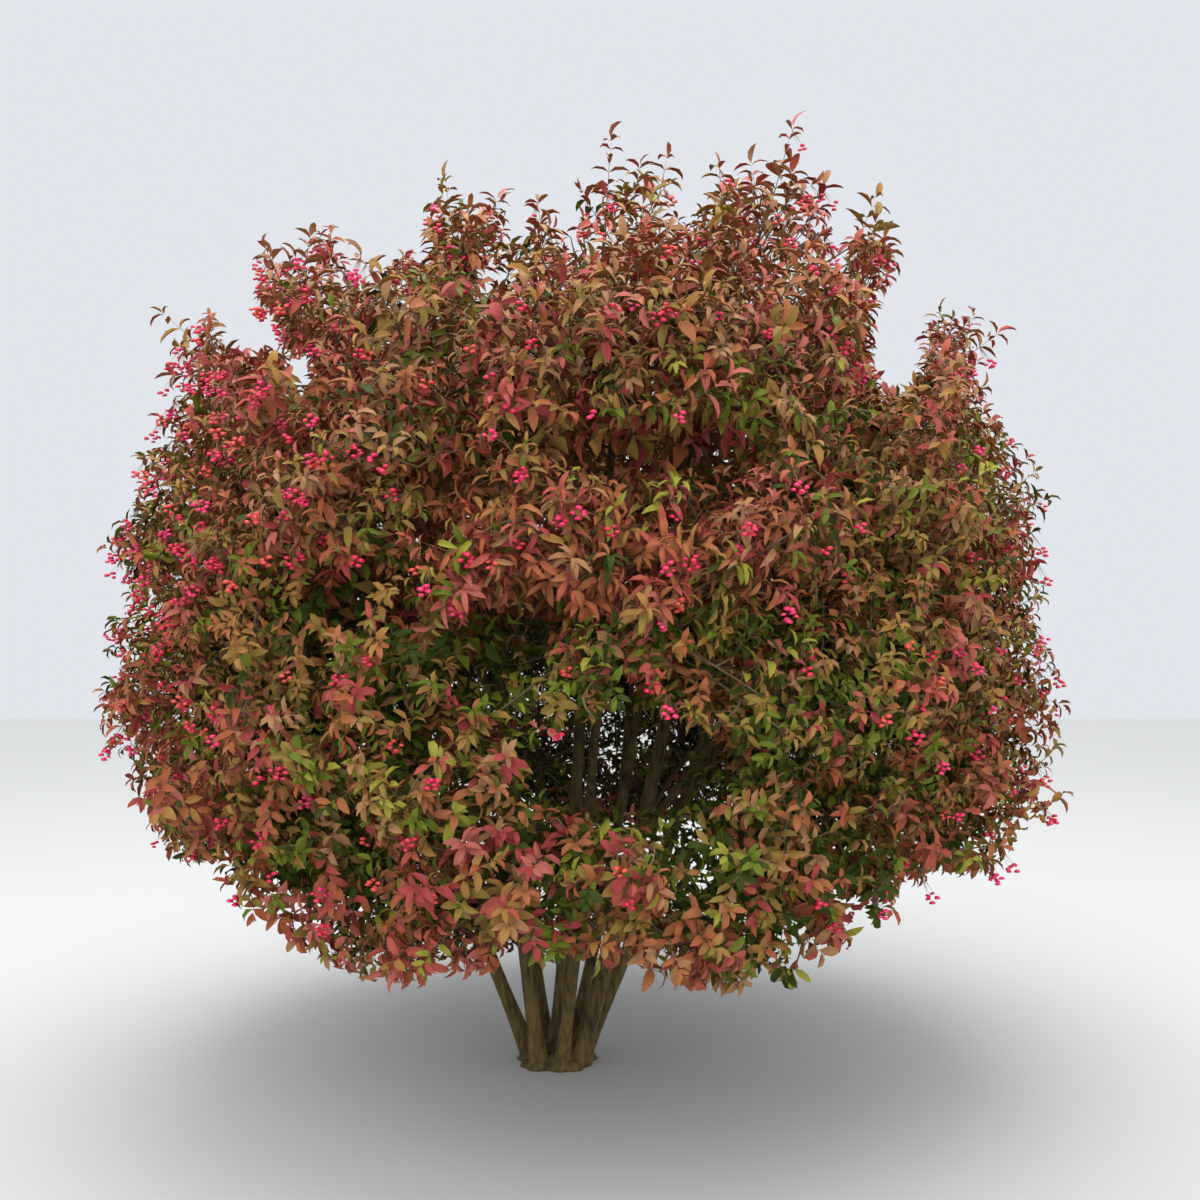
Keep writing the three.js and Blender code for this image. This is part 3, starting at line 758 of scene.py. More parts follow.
def into_bare_places(parents, mass_of, taken, rule, rng):
    """Growth into the crown's bare places. Spots are scattered evenly under its skin, fewer towards the
    top, and one is kept in each cell of a grid that no growth comes near. Each is reached from the closest
    parent in a curve that sets out half along it."""
    spots = CROWN_BOX[0] + rng.random((rule["spots"], 3)) * (CROWN_BOX[1] - CROWN_BOX[0])
    depth = crown_depth(spots)
    spots = spots[(depth > rule["depth"][0]) & (depth < rule["depth"][1]) & (spots[:, 2] > rule["above"])]
    spots = spots[rng.random(len(spots)) < openness(spots, FILL_FADE)]
    spots = spots[closest(spots, taken)[1] > rule["bare"]]
    spots = spots[one_to_a_cell(spots, rule["bare"])]
    t = np.tile(np.linspace(0.2, 1, 8), (len(parents), 1))
    stations, tangents = curve_point(parents, t).reshape(-1, 3), curve_tangent(parents, t).reshape(-1, 3)
    nearest, gap = closest(spots, stations)
    reached = np.flatnonzero((gap > rule["reach"][0]) & (gap < rule["reach"][1]))
    nearest, gap, spots = nearest[reached], gap[reached][:, None], spots[reached]
    root = stations[nearest]
    control = root + 0.5 * gap * unit(0.7 * tangents[nearest] + (spots - root) / gap)
    curves = np.stack((root, control, spots), 1)
    owners = mass_of[nearest // t.shape[1]]
    return fitted(curves, owners, REACH_OVER, 0.3 * TOP_LOWERED, "fill")[:2]


def tufts(shoots, mass_of, rng):
    """Two pairs of short shoots low on each long shoot of the leaders and the shoulder, near its line."""
    chosen = np.flatnonzero((curve_length(shoots) > TUFTS_ON_SHOOTS_OVER) & (TIER_OF[mass_of] < 2))
    parents = np.repeat(shoots[chosen], 4, 0)
    owners = np.repeat(mass_of[chosen], 4)
    n = len(parents)
    t = np.tile(TUFTS_AT, len(chosen)) + 0.1 * rng.random(n)
    root, tangent = along(parents, t)
    side, above = level_frame(tangent)
    turn = np.tile(np.radians((0, 180, 90, 270)), len(chosen)) + 2.5 * np.repeat(rng.random(len(chosen)), 4)
    forward = unit(tangent + 0.75 * turned(turn, side, above))
    length = curve_length(parents) * (0.4 + 0.3 * rng.random(n))
    curves = bent(root, forward, length, -0.35)
    return fitted(curves, owners, REACH_OVER, 0.5 * TOP_LOWERED, "tuft")[:2]


def end_shoots(mains, rng):
    """The leading shoot of each mass, which reaches the mass's tip, and a ruff of shorter ones below it."""
    away = TIPS - mains[:, 2]
    lots = [(bent(mains[:, 2], unit(away), span(away) - 0.03, 0), np.arange(len(mains)))]
    across = curve_across(mains)
    for k in range(RUFF):
        root, tangent = along(mains, np.full(len(mains), 0.98 - 0.05 * k))
        turn = math.radians(140) * k + 0.6 * rng.random(len(mains))
        forward = unit(tangent + 0.75 * turned(turn, np.cross(across, tangent), across))
        length = SHOOT_LENGTH * (0.8 + 0.35 * rng.random(len(mains)))
        curves = bent(root, forward, length, -0.1)
        lots.append(fitted(curves, np.arange(len(mains)), REACH_OVER, 0, "ruff")[:2])
    return both(*lots)


def directions(points):
    """From the crown's middle: the 7 degree cell that each point lies in, how far it is and its rise."""
    away = points - CROWN_MIDDLE
    far = span(away)
    turn = np.floor(np.degrees(np.arctan2(away[:, 1], away[:, 0])) / 7).astype(int) + 60
    rise = np.arcsin(away[:, 2] / far)
    return turn * 200 + np.floor(np.degrees(rise) / 7).astype(int) + 60, far, rise


def crowding(points):
    """How many points share each one's direction from the crown's middle, for cells of equal size."""
    cell, _, rise = directions(points)
    _, which, counts = np.unique(cell, return_inverse=True, return_counts=True)
    return counts[which] / np.maximum(np.cos(rise), 0.2)


# Leaves and fruit.

def leaf_faces(stations):
    """Two triangles at the base, four between each pair of stations and two at the tip."""
    faces = [(0, 2, 1), (0, 3, 2)]
    for k in range(1, 3 * stations - 3, 3):
        faces += [(k, k + 1, k + 4), (k, k + 4, k + 3), (k + 1, k + 2, k + 5), (k + 1, k + 5, k + 4)]
    k = 3 * stations - 2
    return np.array(faces + [(k, k + 1, k + 3), (k + 1, k + 2, k + 3)])


def leaf_blades(outline, base, direction, above, length, width, curl, fold):
    """Blades on a bent midrib: the direction turns down by curl over the length, p(s) = L (sin(cs)/c d
    - (1 - cos(cs))/c n), and the edges stand off it at w(s) (cos f b + sin f n(s)), a shallow V."""
    n = len(base)
    side = np.cross(direction, above)
    stations, widths = np.array(outline).T
    count = len(stations)
    s = np.concatenate(((0.0,), stations, (1.0,)))[None]
    c = curl[:, None]
    direction, above = direction[:, None], above[:, None]
    onward = (np.sin(c * s) / c)[..., None] * direction - ((1 - np.cos(c * s)) / c)[..., None] * above
    rib = base[:, None] + length[:, None, None] * onward
    stand = turned(c * s, above, direction)
    half = (0.5 * width)[:, None] * widths[None]
    middle, normal = rib[:, 1:-1], stand[:, 1:-1]
    out = half[..., None] * np.cos(fold)[:, None, None] * side[:, None]
    raise_ = half[..., None] * np.sin(fold)[:, None, None] * normal
    rows = np.stack((middle - out + raise_, middle, middle + out + raise_), 2)
    corners = np.concatenate((rib[:, :1], rows.reshape(n, 3 * count, 3), rib[:, -1:]), 1)
    place = np.array([(0.5, 0.0)] + [(x, at) for at in stations for x in (0.0, 0.5, 1.0)] + [(0.5, 1.0)])
    return corners.reshape(-1, 3), many(leaf_faces(count), n, 3 * count + 2), np.tile(place, (n, 1))


def dress_shoots(shoots, mass_of, in_spire, in_core, rng):
    """Opposite pairs of leaves along each shoot and one at its tip: the leaves' places, headings, shoots,
    sizes and their shoots' directions, and where the pairs stand."""
    spacing = np.where(in_core, CORE_SPACING, by_tier(LEAF_SPACING, mass_of))
    spacing = np.where(in_spire, SPIRE_SPACING, spacing)
    spacing = np.where(in_rose_spray(shoots[:, 2], mass_of), ROSE_SPACING, spacing)
    pairs = np.maximum(2, np.round(curve_length(shoots) / spacing)).astype(int)
    owner, step = counted_out(pairs)
    t = np.minimum((step + 0.5 + 0.25 * rng.random(len(owner))) / pairs[owner], 0.98)
    t = 1 - (1 - t) ** by_tier(TO_THE_TIP, mass_of)[owner]
    point, tangent = along(shoots[owner], t)
    side, above = level_frame(tangent)
    spin = np.pi / 2 * (step % 2) + 0.9 * (rng.random(len(owner)) - 0.5)
    angle = np.radians(74 - 28 * t) + 0.3 * (rng.random(len(owner)) - 0.5)
    hands = [unit(turned(angle, tangent, hand * turned(spin, side, above))) for hand in (1, -1)]
    share = 1 - 0.25 * np.abs(t - 0.5) - 0.2 * t**6
    tips = shoots[:, 2]
    ahead = unit(tips - shoots[:, 1])
    ends = np.arange(len(shoots))
    rows = (
        (point, point, tips), (*hands, ahead), (owner, owner, ends), (share, share, 0.75 + 0 * ends),
        (tangent, tangent, ahead))
    return [np.concatenate(row) for row in rows] + [point]


def leaf_details(places, headings, share, onward, mass_of, rank, in_spire, in_clump, rng):
    """Sizes, upper faces, curls and folds of the leaves: they face their shoot's tip, the sky and outward,
    and arch back. They are larger in the rose spray, in the rose clumps, in the spires and deep inside."""
    n = len(places)
    outward = places - np.array((CROWN_SHIFT, 0, 1.2))
    want = unit(0.6 * onward + 0.6 * UP + 0.25 * unit(outward) + 0.3 * rng.normal(size=(n, 3)))
    above = unit(want - headings * (want * headings).sum(-1, keepdims=True))
    in_rose = in_rose_spray(places, mass_of)
    larger = np.where(in_spire, SPIRE_LEAF, np.where(in_clump, CLUMP_LEAF, 1.0))
    larger = np.where(in_rose, ROSE_SPRAY["larger"], larger)
    hidden = (rank < 0.5) & (places[:, 2] > LIT_BELOW) & (places[:, 2] < OPEN_ABOVE)
    larger = np.where(hidden, np.interp(rank, (0, 0.5), DEEP_LARGER[::-1]), larger)
    length = LEAF_LENGTH * share * (0.75 + 0.45 * rng.random(n)) * larger * by_tier(LEAF_SIZE, mass_of)
    width = by_tier(LEAF_RATIO, mass_of) * length * (0.88 + 0.24 * rng.random(n))
    width *= np.where(in_rose, ROSE_SPRAY["narrower"], 1.0)
    curl = by_tier(LEAF_CURL, mass_of) * (0.5 + rng.random(n)) * np.where(in_rose, ROSE_SPRAY["arch"], 1.0)
    fold = by_tier(LEAF_FOLD, mass_of) * (0.5 + rng.random(n))
    return above, length, width, curl, fold


def rose_clumps(shoots, rng):
    """Which shoots make up the clumps of larger, rosier leaves on the lower crown: those that end near one
    of a few evenly chosen tips that stand furthest out."""
    tips = shoots[:, 2]
    rank = skin_rank(tips)
    likely = rng.permutation(np.flatnonzero((rank > 0.85) & (tips[:, 2] < CLUMPS_BELOW)))
    middles = tips[likely[np.sort(one_to_a_cell(tips[likely], CLUMP_GAP))[:CLUMPS]]]
    return (closest(tips, middles)[1] < CLUMP_RADIUS) & (rank > 0.6)


def in_rose_spray(points, mass_of):
    """Which points belong to the spray of long rose leaves that stands out of the crown's front."""
    x, _, z = points.T
    level = (z > ROSE_SPRAY["above"]) & (z < ROSE_SPRAY["below"])
    return (mass_of == ROSE_MASS) & level & (x > ROSE_SPRAY["left"]) & (x < ROSE_SPRAY["right"])


# A fruit of radius 1: its rings' radii and heights, its poles, and how each corner of a ring stands out
# and droops.
FRUIT_RINGS = np.array(((0.8, 0.4), (1.0, -0.22)))
FRUIT_POLES = ((0, 0, 0.62), (0, 0, -0.4))
LOBES = np.tile((1.0, 0.6), 4)
DROOP_OF_LOBES = np.tile((1.0, 0.75), 4)


def fruits(centre, radius, turn, lean):
    """Four-lobed capsules: rings of eight corners, every second one drawn in, dished underneath."""
    n, sides = len(centre), len(LOBES)
    a = turn[:, None] + once_round(sides)[None]
    ring = FRUIT_RINGS[None, :, 0, None] * LOBES * radius[:, None, None]
    height = FRUIT_RINGS[None, :, 1, None] * DROOP_OF_LOBES * radius[:, None, None]
    x, y = ring * np.cos(a)[:, None], ring * np.sin(a)[:, None]
    wall = np.stack((x, y, height + 0 * x), -1).reshape(n, -1, 3)
    corners = np.concatenate((wall, np.multiply.outer(radius, FRUIT_POLES)), 1)
    x, y, z = np.moveaxis(corners, -1, 0)
    tilt_x, tilt_y = lean[:, :1], lean[:, 1:]
    leaned = corners + np.stack((z * tilt_x, z * tilt_y, -(x * tilt_x + y * tilt_y)), -1)
    faces = tube_faces(len(FRUIT_RINGS), sides)[:, ::-1]
    return (centre[:, None] + leaned).reshape(-1, 3), many(faces, n, corners.shape[1])


def skin_rank(points):
    """How far out each point lies among those in the same direction from the crown's middle, 0 to 1."""
    cell, far, _ = directions(points)
    order = np.lexsort((far, cell))
    sizes = np.unique(cell, return_counts=True)[1]
    which, place = counted_out(sizes)
    rank = np.empty(len(points))
    rank[order] = (place + 1) / sizes[which]
    return rank


def fruit_clusters(point, rng):
    """Where clusters hang: mostly at the crown's skin. A cluster's fruits are spread evenly over a small
    ball by the golden angle. Returns each fruit's hold, centre and cluster."""
    rank = skin_rank(point)
    high = ramp(point[:, 2], 0.9, 1.6)
    chance = rank**8 * (0.4 + 0.6 * high) * (point[:, 2] > FRUIT_LOWEST)
    chance *= 1 + 4 * high * np.clip(-point[:, 0], 0, 1)
    likely = rng.choice(len(point), 6 * CLUSTERS, replace=False, p=chance / chance.sum())
    hang = point[likely[np.sort(one_to_a_cell(point[likely], CLUSTER_GAP))[:CLUSTERS]]]
    count = rng.integers(3, 8, CLUSTERS)
    cluster, order = counted_out(count)
    outward = (hang - CROWN_MIDDLE) * (1, 1, 0)
    middle = hang + unit(outward) * CLUSTER_OUT - (0.045 + 0.02 * rng.random(CLUSTERS))[:, None] * UP
    rise = 1 - (2 * order + 1) / count[cluster]
    swing = GOLDEN_ANGLE * order + 6.3 * rng.random(CLUSTERS)[cluster]
    flat = np.sqrt(1 - rise**2)
    ball = np.stack((flat * np.cos(swing), flat * np.sin(swing), rise), -1)
    spread = 0.0062 * np.sqrt(count)[cluster] * (0.7 + 0.6 * rng.random(len(cluster)))
    return hang[cluster], middle[cluster] + ball * spread[:, None], cluster


# Finishes.

def linear(r, g, b):
    """Screen colour of 0 to 255 a channel as a linear colour: ((c + 0.055) / 1.055)^2.4 above the toe."""
    c = np.array((r, g, b)) / 255
    c = np.where(c > 0.04045, ((c + 0.055) / 1.055) ** 2.4, c / 12.92)
    return (*c.tolist(), 1.0)


def new_group(name, inputs):
    """A node group with a number or colour socket for each input, and the outputs of its input node."""
    group = bpy.data.node_groups.new(name, "ShaderNodeTree")
    for socket, value in inputs.items():
        kind = "NodeSocketColor" if isinstance(value, tuple) else "NodeSocketFloat"
        group.interface.new_socket(socket, in_out="INPUT", socket_type=kind).default_value = value
    return group, group.nodes.new("NodeGroupInput").outputs


def put_out(group, **outputs):
    """The same group, with a number or colour socket for each thing that it puts out."""
    for name, output in outputs.items():
        kind = "NodeSocketColor" if output.type == "RGBA" else "NodeSocketFloat"
        group.interface.new_socket(name, in_out="OUTPUT", socket_type=kind)
    out = group.nodes.new("NodeGroupOutput")
    for name, output in outputs.items():
        group.links.new(output, out.inputs[name])
    return group


def add_node(group, kind, inputs, **settings):
    """A node with its settings. Each input takes a value, or is wired to the output that it is given."""
    made = group.nodes.new("ShaderNode" + kind)
    for name, value in settings.items():
        setattr(made, name, value)
    for socket, value in inputs.items():
        if isinstance(value, bpy.types.NodeSocket):
            group.links.new(value, made.inputs[socket])
        else:
            made.inputs[socket].default_value = value
    return made


def worked_out(group, operation, *values):
    """What a maths node makes of up to three numbers or outputs."""
    return add_node(group, "Math", dict(enumerate(values)), operation=operation).outputs[0]


def leaf_veins_group():
    """Side veins that rise from the midrib to the edges, and a waxy skin that is a little uneven."""
    group, given = new_group("leaf_veins", {"Veins": 9.0, "Waxiness": 0.5})
    blade = add_node(group, "UVMap", {}, uv_map="blade")
    place = add_node(group, "SeparateXYZ", {0: blade.outputs["UV"]})
    aside = worked_out(group, "ABSOLUTE", worked_out(group, "SUBTRACT", place.outputs["X"], 0.5))
    run = worked_out(group, "SUBTRACT", place.outputs["Y"], aside)
    wave = worked_out(group, "MULTIPLY", run, given["Veins"])
    veins = worked_out(group, "PINGPONG", wave, 0.5)
    midrib = worked_out(group, "SMOOTH_MIN", aside, 0.12, 0.05)
    relief = worked_out(group, "MULTIPLY_ADD", midrib, 4.0, veins)
    where = add_node(group, "TexCoord", {})
    uneven = add_node(group, "TexNoise", {"Scale": 45, "Vector": where.outputs["Object"]})
    rough = add_node(group, "MapRange", {"To Min": 0.38, "To Max": 0.72, "Value": uneven.outputs["Fac"]})
    waxed = worked_out(group, "MULTIPLY_ADD", given["Waxiness"], -0.2, rough.outputs[0])
    return put_out(group, Roughness=waxed, Relief=relief)


def bark_furrows_group():
    """Fine upright streaks and lighter flakes: noise drawn out along the stem, in two sizes."""
    group, given = new_group("bark_furrows", {
        "Dark": (0.02, 0.015, 0.01, 1), "Pale": (0.2, 0.17, 0.1, 1), "Fineness": 60.0})
    where = add_node(group, "TexCoord", {}).outputs["Object"]
    drawn = add_node(group, "Mapping", {"Scale": (1, 1, 0.12), "Vector": where})
    streaks = add_node(group, "TexNoise", {
        "Detail": 6, "Roughness": 0.62, "Vector": drawn.outputs[0], "Scale": given["Fineness"]})
    patches = add_node(group, "TexNoise", {"Scale": 9, "Detail": 4, "Vector": where})
    both = worked_out(group, "MULTIPLY_ADD", patches.outputs["Fac"], 0.5, streaks.outputs["Fac"])
    spread = add_node(group, "MapRange", {"From Min": 0.55, "From Max": 0.95, "Value": both}).outputs[0]
    shades = {"Factor": spread, "A": given["Dark"], "B": given["Pale"]}
    mix = add_node(group, "Mix", shades, data_type="RGBA")
    rough = add_node(group, "MapRange", {"To Min": 0.95, "To Max": 0.7, "Value": spread})
    return put_out(
        group, Colour=mix.outputs["Result"], Roughness=rough.outputs[0], Relief=streaks.outputs["Fac"])


def new_finish(name, values):
    """A material with a Principled shader that is given some values, and that shader."""
    material = bpy.data.materials.new(name)
    material.use_nodes = True
    skin = material.node_tree.nodes["Principled BSDF"]
    for socket, value in values.items():
        skin.inputs[socket].default_value = value
    return material, skin


def bumped(material, skin, group, sockets, strength, distance):
    """Roughness and relief for a Principled shader from a group, which is handed back."""
    tree = material.node_tree
    marks = add_node(tree, "Group", sockets, node_tree=group)
    bump = add_node(tree, "Bump", {
        "Strength": strength, "Distance": distance, "Height": marks.outputs["Relief"]})
    tree.links.new(bump.outputs["Normal"], skin.inputs["Normal"])
    tree.links.new(marks.outputs["Roughness"], skin.inputs["Roughness"])
    return marks


def bark_finish(group, name, dark, pale, fineness, strength, distance):
    """Bark, whose streaks also give the colour, between a dark and a pale one."""
    material, skin = new_finish(name, {})
    sockets = {"Dark": linear(*dark), "Pale": linear(*pale), "Fineness": fineness}
    marks = bumped(material, skin, group, sockets, strength, distance)
    material.node_tree.links.new(marks.outputs["Colour"], skin.inputs["Base Color"])
    return material


# Autumn tints, dealt out by shoot: name, colour, how waxy the upper side is, and the foliage slot.
# The two greens are darkened with painted shade.
TINTS = (
    ("bronze", (148, 108, 72), 0.5, "bronze_foliage"),
    ("olive_brown", (130, 107, 52), 0.5, "bronze_foliage"),
    ("red_brown", (150, 92, 57), 0.4, "bronze_foliage"),
    ("brick", (151, 83, 54), 0.4, "russet_foliage"),
    ("rose", (160, 78, 63), 0.3, "rose_foliage"),
    ("deep_rose", (145, 60, 58), 0.3, "rose_foliage"),
    ("salmon", (166, 91, 79), 0.3, "rose_foliage"),
    # Leaf green and dark green: the leaves' own green, darkened with painted shade for the crown's inside.
    ("leaf_green", (92, 102, 30), 0.7, "bronze_foliage"),
    ("dark_green", (52, 62, 16), 0.8, "bronze_foliage"),
    ("yellow_green", (136, 134, 50), 0.6, "bronze_foliage"),
    ("ochre", (146, 108, 56), 0.4, "bronze_foliage"),
)
# How often each tint comes up, in the order above: in the spires, high in the crown, at its waist, on the
# hem's skin, deep inside high up and low down, in the rose clumps, in the rose spray and under it. The
# lighter tints that lead in the spires and high up are painted light from above. The larger share of dark
# greens on the hem, deep inside and under the rose spray is partly the leaves' own green and partly painted
# shade.
SPIRE_TINTS_WITH_PAINTED_LIGHT = (5.0, 2.2, 2.2, 0.7, 1.0, 0.5, 1.8, 0.4, 0.1, 0.4, 2.2)
HIGH_TINTS_WITH_PAINTED_LIGHT = (4.6, 1.0, 2.7, 1.6, 2.0, 2.4, 2.1, 0.15, 0.1, 0.1, 0.7)
WAIST_TINTS = (1.8, 2.4, 2.4, 1.5, 0.5, 1.0, 0.4, 1.2, 0.7, 0.6, 2.2)
HEM_TINTS_WITH_PAINTED_SHADE = (1.4, 2.0, 2.4, 1.8, 0.5, 1.0, 0.6, 2.3, 2.1, 0.8, 1.6)
DEEP_HIGH_TINTS_WITH_PAINTED_SHADE = (2.6, 1.6, 2.6, 1.3, 0.8, 1.1, 0.6, 0.8, 0.9, 0.1, 0.8)
DEEP_LOW_TINTS_WITH_PAINTED_SHADE = (0.2, 1.2, 0.4, 0.2, 0.0, 0.1, 0.0, 2.6, 5.0, 0.6, 0.3)
CLUMP_TINTS = (0.7, 0.3, 1.8, 2.3, 2.2, 1.9, 1.5, 0.1, 0.1, 0.2, 0.6)
SPRAY_TINTS = (1.0, 0.5, 2.6, 2.8, 1.5, 1.7, 1.8, 0.4, 0.3, 0.6, 0.8)
UNDER_SPRAY_TINTS_WITH_PAINTED_SHADE = (0.4, 1.6, 0.8, 0.4, 0.4, 0.3, 0.3, 2.8, 2.6, 1.0, 0.5)
COOL_PATCHES = (0.9, 1.3, 0.7, 0.6, 0.5, 0.5, 0.5, 1.8, 1.6, 1.4, 1.2)


def deal_tints(shoots, mass_of, in_spire, in_clump, rng):
    """A tint for each shoot: bronze above, rosier below, green inside, in warm and cool patches. Lighter
    tints high up are painted light; darker greens inside and low down are partly painted shade.
    """
    middle = shoots.mean(1)
    x, y, z = middle.T
    patch = np.sin(4.1 * x + 1.3) * np.sin(3.7 * y + 0.4) + 0.8 * np.sin(4.7 * z + 2.1 * x)
    patch += 0.5 * np.sin(9 * y - 7 * z)
    # Higher up, lighter tints: painted light from above.
    high = ramp(z, 1.85, 0.6, 0.2 * patch)[:, None]
    # Lower down, the darker hem tints: painted shade.
    low = ramp(z, 1.15, -0.2, 0.3 * patch)[:, None]
    # Further inside, more of the darker greens: painted shade over the leaves' own green.
    inner = ramp(skin_rank(middle), 0.58, -0.25, 0.12 * patch)[:, None]
    lower = ramp(z, 1.75, -0.4)[:, None]
    skin = high * HIGH_TINTS_WITH_PAINTED_LIGHT + (1 - high) * (low * HEM_TINTS_WITH_PAINTED_SHADE + (1 - low) * np.array(WAIST_TINTS))
    skin *= np.array(COOL_PATCHES) ** np.clip(-0.9 * patch, 0, 1)[:, None]
    deep = lower * DEEP_LOW_TINTS_WITH_PAINTED_SHADE + (1 - lower) * np.array(DEEP_HIGH_TINTS_WITH_PAINTED_SHADE)
    weight = (1 - inner) * skin / skin.sum(1, keepdims=True) + inner * deep / deep.sum(1, keepdims=True)
    weight[in_spire & (z > OPEN_ABOVE)] = SPIRE_TINTS_WITH_PAINTED_LIGHT
    weight[in_clump] = CLUMP_TINTS
    weight[in_rose_spray(middle, mass_of)] = SPRAY_TINTS
    # Under the rose spray, dark greens paint its shadow over the green leaves there.
    weight[(mass_of == ROSE_MASS) & (z < ROSE_SPRAY["above"])] = UNDER_SPRAY_TINTS_WITH_PAINTED_SHADE
    total = np.cumsum(weight, 1)
    return (rng.random(len(z))[:, None] * total[:, -1:] > total).sum(1)


# The plant, put together.

MASSES = plan_masses()
SEEDS = np.array([m["seed"] for m in MASSES])
TIPS = np.array([m["tip"] for m in MASSES])
TIER_OF = np.array([TIERS.index(m["tier"]) for m in MASSES])
ROSE_MASS = [m["name"] for m in MASSES].index(ROSE_SPRAY["mass"])
CROWN_BOX = np.array(cad_box) + ((0.02,), (-0.02,))
LEADING = [m for m in MASSES if m["tier"] == "leader"]
STEMS = {m["name"]: plan_stem(m) for m in LEADING}
LIMBS = dict(STEMS)
for one in MASSES:
    if one["tier"] != "leader":
        LIMBS[one["name"]] = plan_bough(one, LEADING, STEMS)
STATIONS = np.linspace(0.05, 1, 40)
LIMB_CURVES = np.array([limb["curve"] for limb in LIMBS.values()])
LIMB_POINTS = curve_point(LIMB_CURVES, STATIONS[None]).reshape(-1, 3)
LIMB_RADII = np.concatenate([limb["radius_at"](STATIONS) for limb in LIMBS.values()])

bark_group = bark_furrows_group()
bark, twig_bark, stalk_skin = [bark_finish(bark_group, *row) for row in BARKS]

stem_parts = [bark_tube(stem, 1.7 * i, 20, 90, True) for i, stem in enumerate(STEMS.values())]
make_piece(
    "stems_and_collar", *joined(stem_parts + [mound_surface(72, 12)]), bark,
    ["root_collar"] + ["stem_" + m["name"][4:] for m in LEADING], "bark")
bough_parts = [
    bark_tube(limb, 2.9 * i, 10, 30) for i, limb in enumerate(LIMBS.values()) if i >= len(STEMS)]
boughs = ["bough_" + name for name in LIMBS if name not in STEMS]
make_piece("boughs", *joined(bough_parts), bark, boughs, "bark")

rng = np.random.default_rng(41)
mains = main_twigs()
main = (mains, np.arange(len(mains)))
twig = side_twigs(mains, rng)
stations = curve_point(twig[0], np.tile(np.linspace(0, 1, 8), (len(twig[0]), 1))).reshape(-1, 3)
twig = both(twig, into_bare_places(*both(main, twig), stations, BARE_OF_TWIGS, rng))
*side, at_end = leafy_shoots(*twig, rng)
tuft = tufts(side[0][at_end], side[1][at_end], rng)
end = end_shoots(mains, rng)
fill = into_bare_places(*twig, both(side, tuft, end)[0][:, 2], BARE_OF_SHOOTS, rng)
twig = both(twig, into_bare_places(*both(main, twig), stations, CORE_OF_TWIGS, rng))
core = into_bare_places(*twig, both(side, fill, tuft, end)[0][:, 2], CORE_OF_SHOOTS, rng)
shoots, shoot_mass = both(side, core, fill, tuft, end)
lot = np.repeat(np.arange(5), [len(curves) for curves, _ in (side, core, fill, tuft, end)])
in_core = lot == 1
upper = TIER_OF[shoot_mass] < 2
in_spire = upper & (lot > 2)
in_spire[lot == 0] = upper[lot == 0] & at_end

foliage = ["foliage_" + m["name"] for m in MASSES]
grown = (mains, twig[0], shoots[in_spire], shoots[upper & ~in_spire], shoots[~upper])
make_piece("twigs", *joined([
    fine_tubes(curves, *girth, pointed=k > 1) for k, (curves, girth) in enumerate(zip(grown, GIRTHS))
]), twig_bark, foliage, None)

in_clump = rose_clumps(shoots, rng)
tint_of = deal_tints(shoots, shoot_mass, in_spire, in_clump, rng)
places, headings, owners, shares, onward, nodes_at = dress_shoots(
    shoots, shoot_mass, in_spire, in_core, rng)
rank_of = skin_rank(places)
above, lengths, *bends = leaf_details(
    places, headings, shares, onward, shoot_mass[owners], rank_of, in_spire[owners], in_clump[owners], rng)
again = deal_tints(shoots, shoot_mass, in_spire, in_clump, rng)
leaf_tint = np.where(rng.random(len(owners)) < 0.4, again[owners], tint_of[owners])
finest, plainest = OUTLINE_RANKS
detail = np.where(lengths > LONG_LEAF, rank_of, np.minimum(rank_of, finest))
lit = (places[:, 2] < LIT_BELOW) & (places[:, 1] < LIT_BEFORE)
detail = np.where(lit, np.maximum(detail, plainest + 0.1), detail)
outline_of = (detail[:, None] <= OUTLINE_RANKS).sum(1)
leaves = (places, headings, above, lengths, *bends)
veins_group = leaf_veins_group()
for index, (name, colour, waxy, slot) in enumerate(TINTS):
    finish, skin = new_finish("leaf_" + name, {"Base Color": linear(*colour), "Specular IOR Level": 0.1})
    bumped(finish, skin, veins_group, {"Veins": 9.0, "Waxiness": waxy}, 0.5, 0.0015)
    blades = []
    for kind, outline in enumerate(LEAF_OUTLINES):
        some = (leaf_tint == index) & (outline_of == kind)
        blades.append(leaf_blades(outline, *(rows[some] for rows in leaves)))
    corners, faces, uv = joined(blades)
    make_piece("leaves_" + name, corners, faces, finish, foliage, slot, uv)

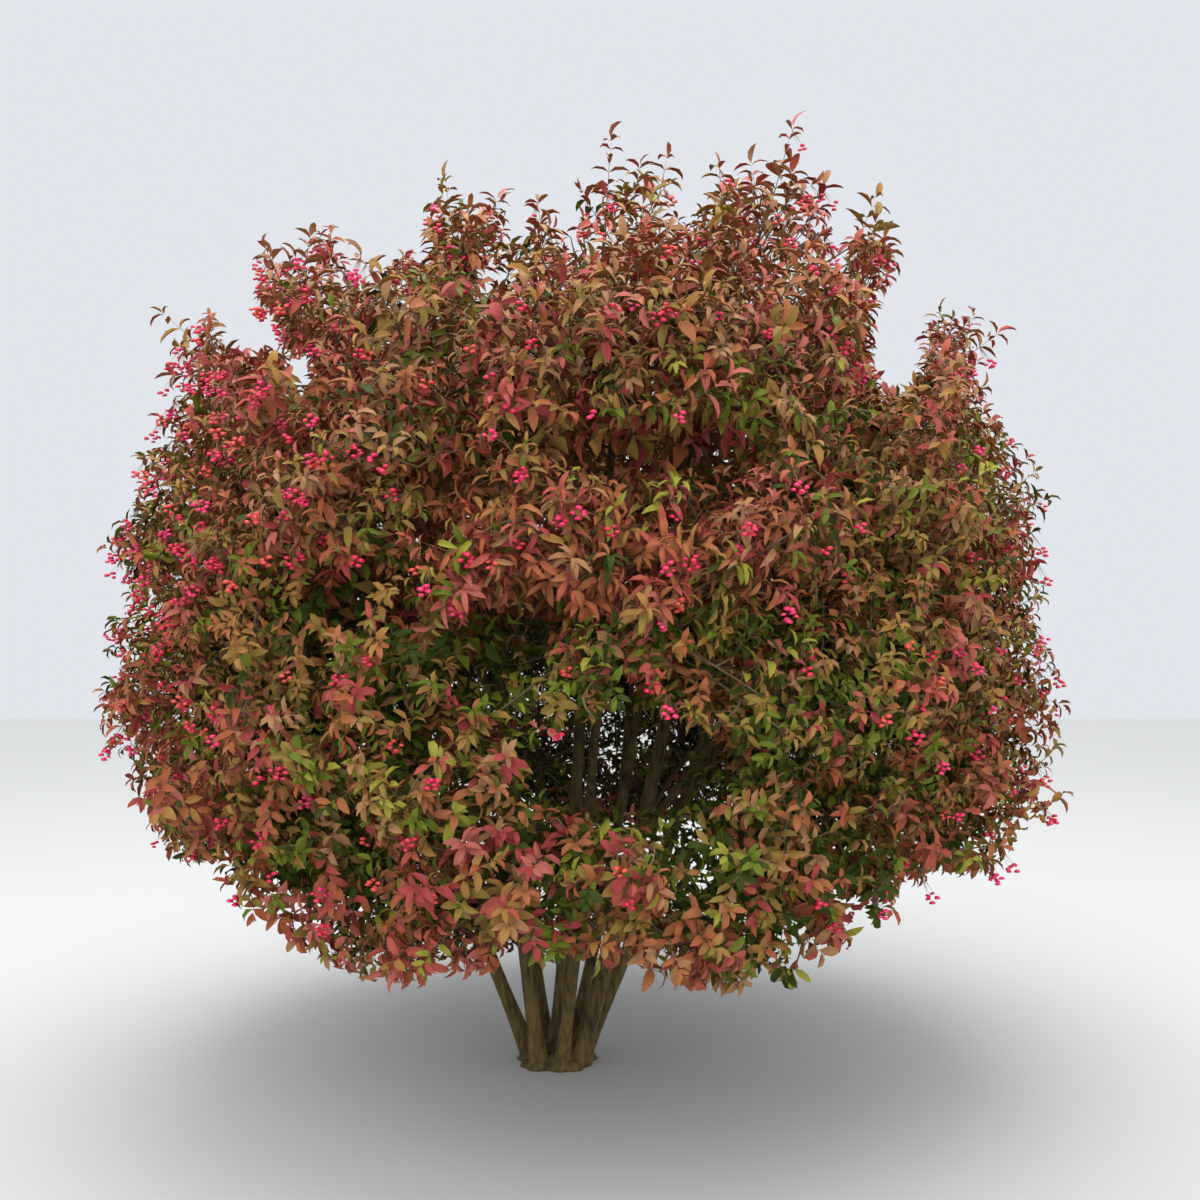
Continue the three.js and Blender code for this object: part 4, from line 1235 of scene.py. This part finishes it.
hang, centre, cluster = fruit_clusters(nodes_at, rng)
stalk_top = centre + np.array((0, 0, 0.36 * FRUIT_RADIUS))
stalks = np.stack((hang, (hang + stalk_top) / 2 + np.array((0, 0, 0.004)), stalk_top), 1)
make_piece(
    "fruit_stalks", *fine_tubes(stalks, STALK_RADIUS, STALK_RADIUS, 3, 1, True),
    stalk_skin, foliage, None)
lean = 0.5 * (rng.random((len(centre), 2)) - 0.5)
turn = 2 * np.pi * rng.random(len(centre))
size = FRUIT_RADIUS * (0.8 + 0.4 * rng.random(len(centre)))
inner = ramp(crown_radius(hang[:, 2]) - round_crown(hang)[1], 0, 0.6)
kind_of = np.searchsorted(UNRIPE_FROM, rng.random(CLUSTERS)[cluster] + 0.35 * inner)
for index, (name, colour) in enumerate(FRUIT_TINTS):
    chosen = np.flatnonzero(kind_of == index)
    finish, skin = new_finish("capsule_" + name, {"Base Color": linear(*colour), "Roughness": 0.45})
    made = fruits(centre[chosen], size[chosen], turn[chosen], lean[chosen])
    make_piece("fruit_" + name, *made, finish, foliage, None)


# Floor, light and camera.

def pale_floor():
    """A plain square floor at ground level."""
    mesh = bpy.data.meshes.new("floor")
    corners = [(x * FLOOR_HALF, y * FLOOR_HALF, 0) for x, y in ((-1, -1), (1, -1), (1, 1), (-1, 1))]
    mesh.from_pydata(corners, [], [(0, 1, 2, 3)])
    mesh.materials.append(new_finish("pale_floor", {"Base Color": FLOOR_COLOUR, "Roughness": 0.9})[0])
    in_scene("floor", mesh)


def add_light(name, kind, place, aim, strength, spread):
    """A light that points from its place to its aim."""
    light = bpy.data.lights.new(name, kind)
    light.energy = strength
    if kind == "SUN":
        light.angle = math.radians(spread)
    else:
        light.size = spread
    lamp = in_scene(name, light)
    lamp.location = place
    lamp.rotation_euler = (Vector(aim) - Vector(place)).to_track_quat("-Z", "Y").to_euler()


pale_floor()
for row in LIGHTS:
    add_light(*row)

world = bpy.data.worlds.new("overcast")
world.use_nodes = True
sky = world.node_tree.nodes["Background"].inputs
sky["Color"].default_value = OVERCAST_COLOUR
sky["Strength"].default_value = OVERCAST_STRENGTH
bpy.context.scene.world = world
bpy.context.scene.view_settings.view_transform = "Standard"

camera_data = bpy.data.cameras.new("camera")
camera_data.sensor_width = SENSOR
camera_data.lens = LENS
camera = in_scene("camera", camera_data)
camera.location = tuple(VIEWED_FROM)
camera.rotation_euler = (math.radians(90), 0, 0)
bpy.context.scene.camera = camera
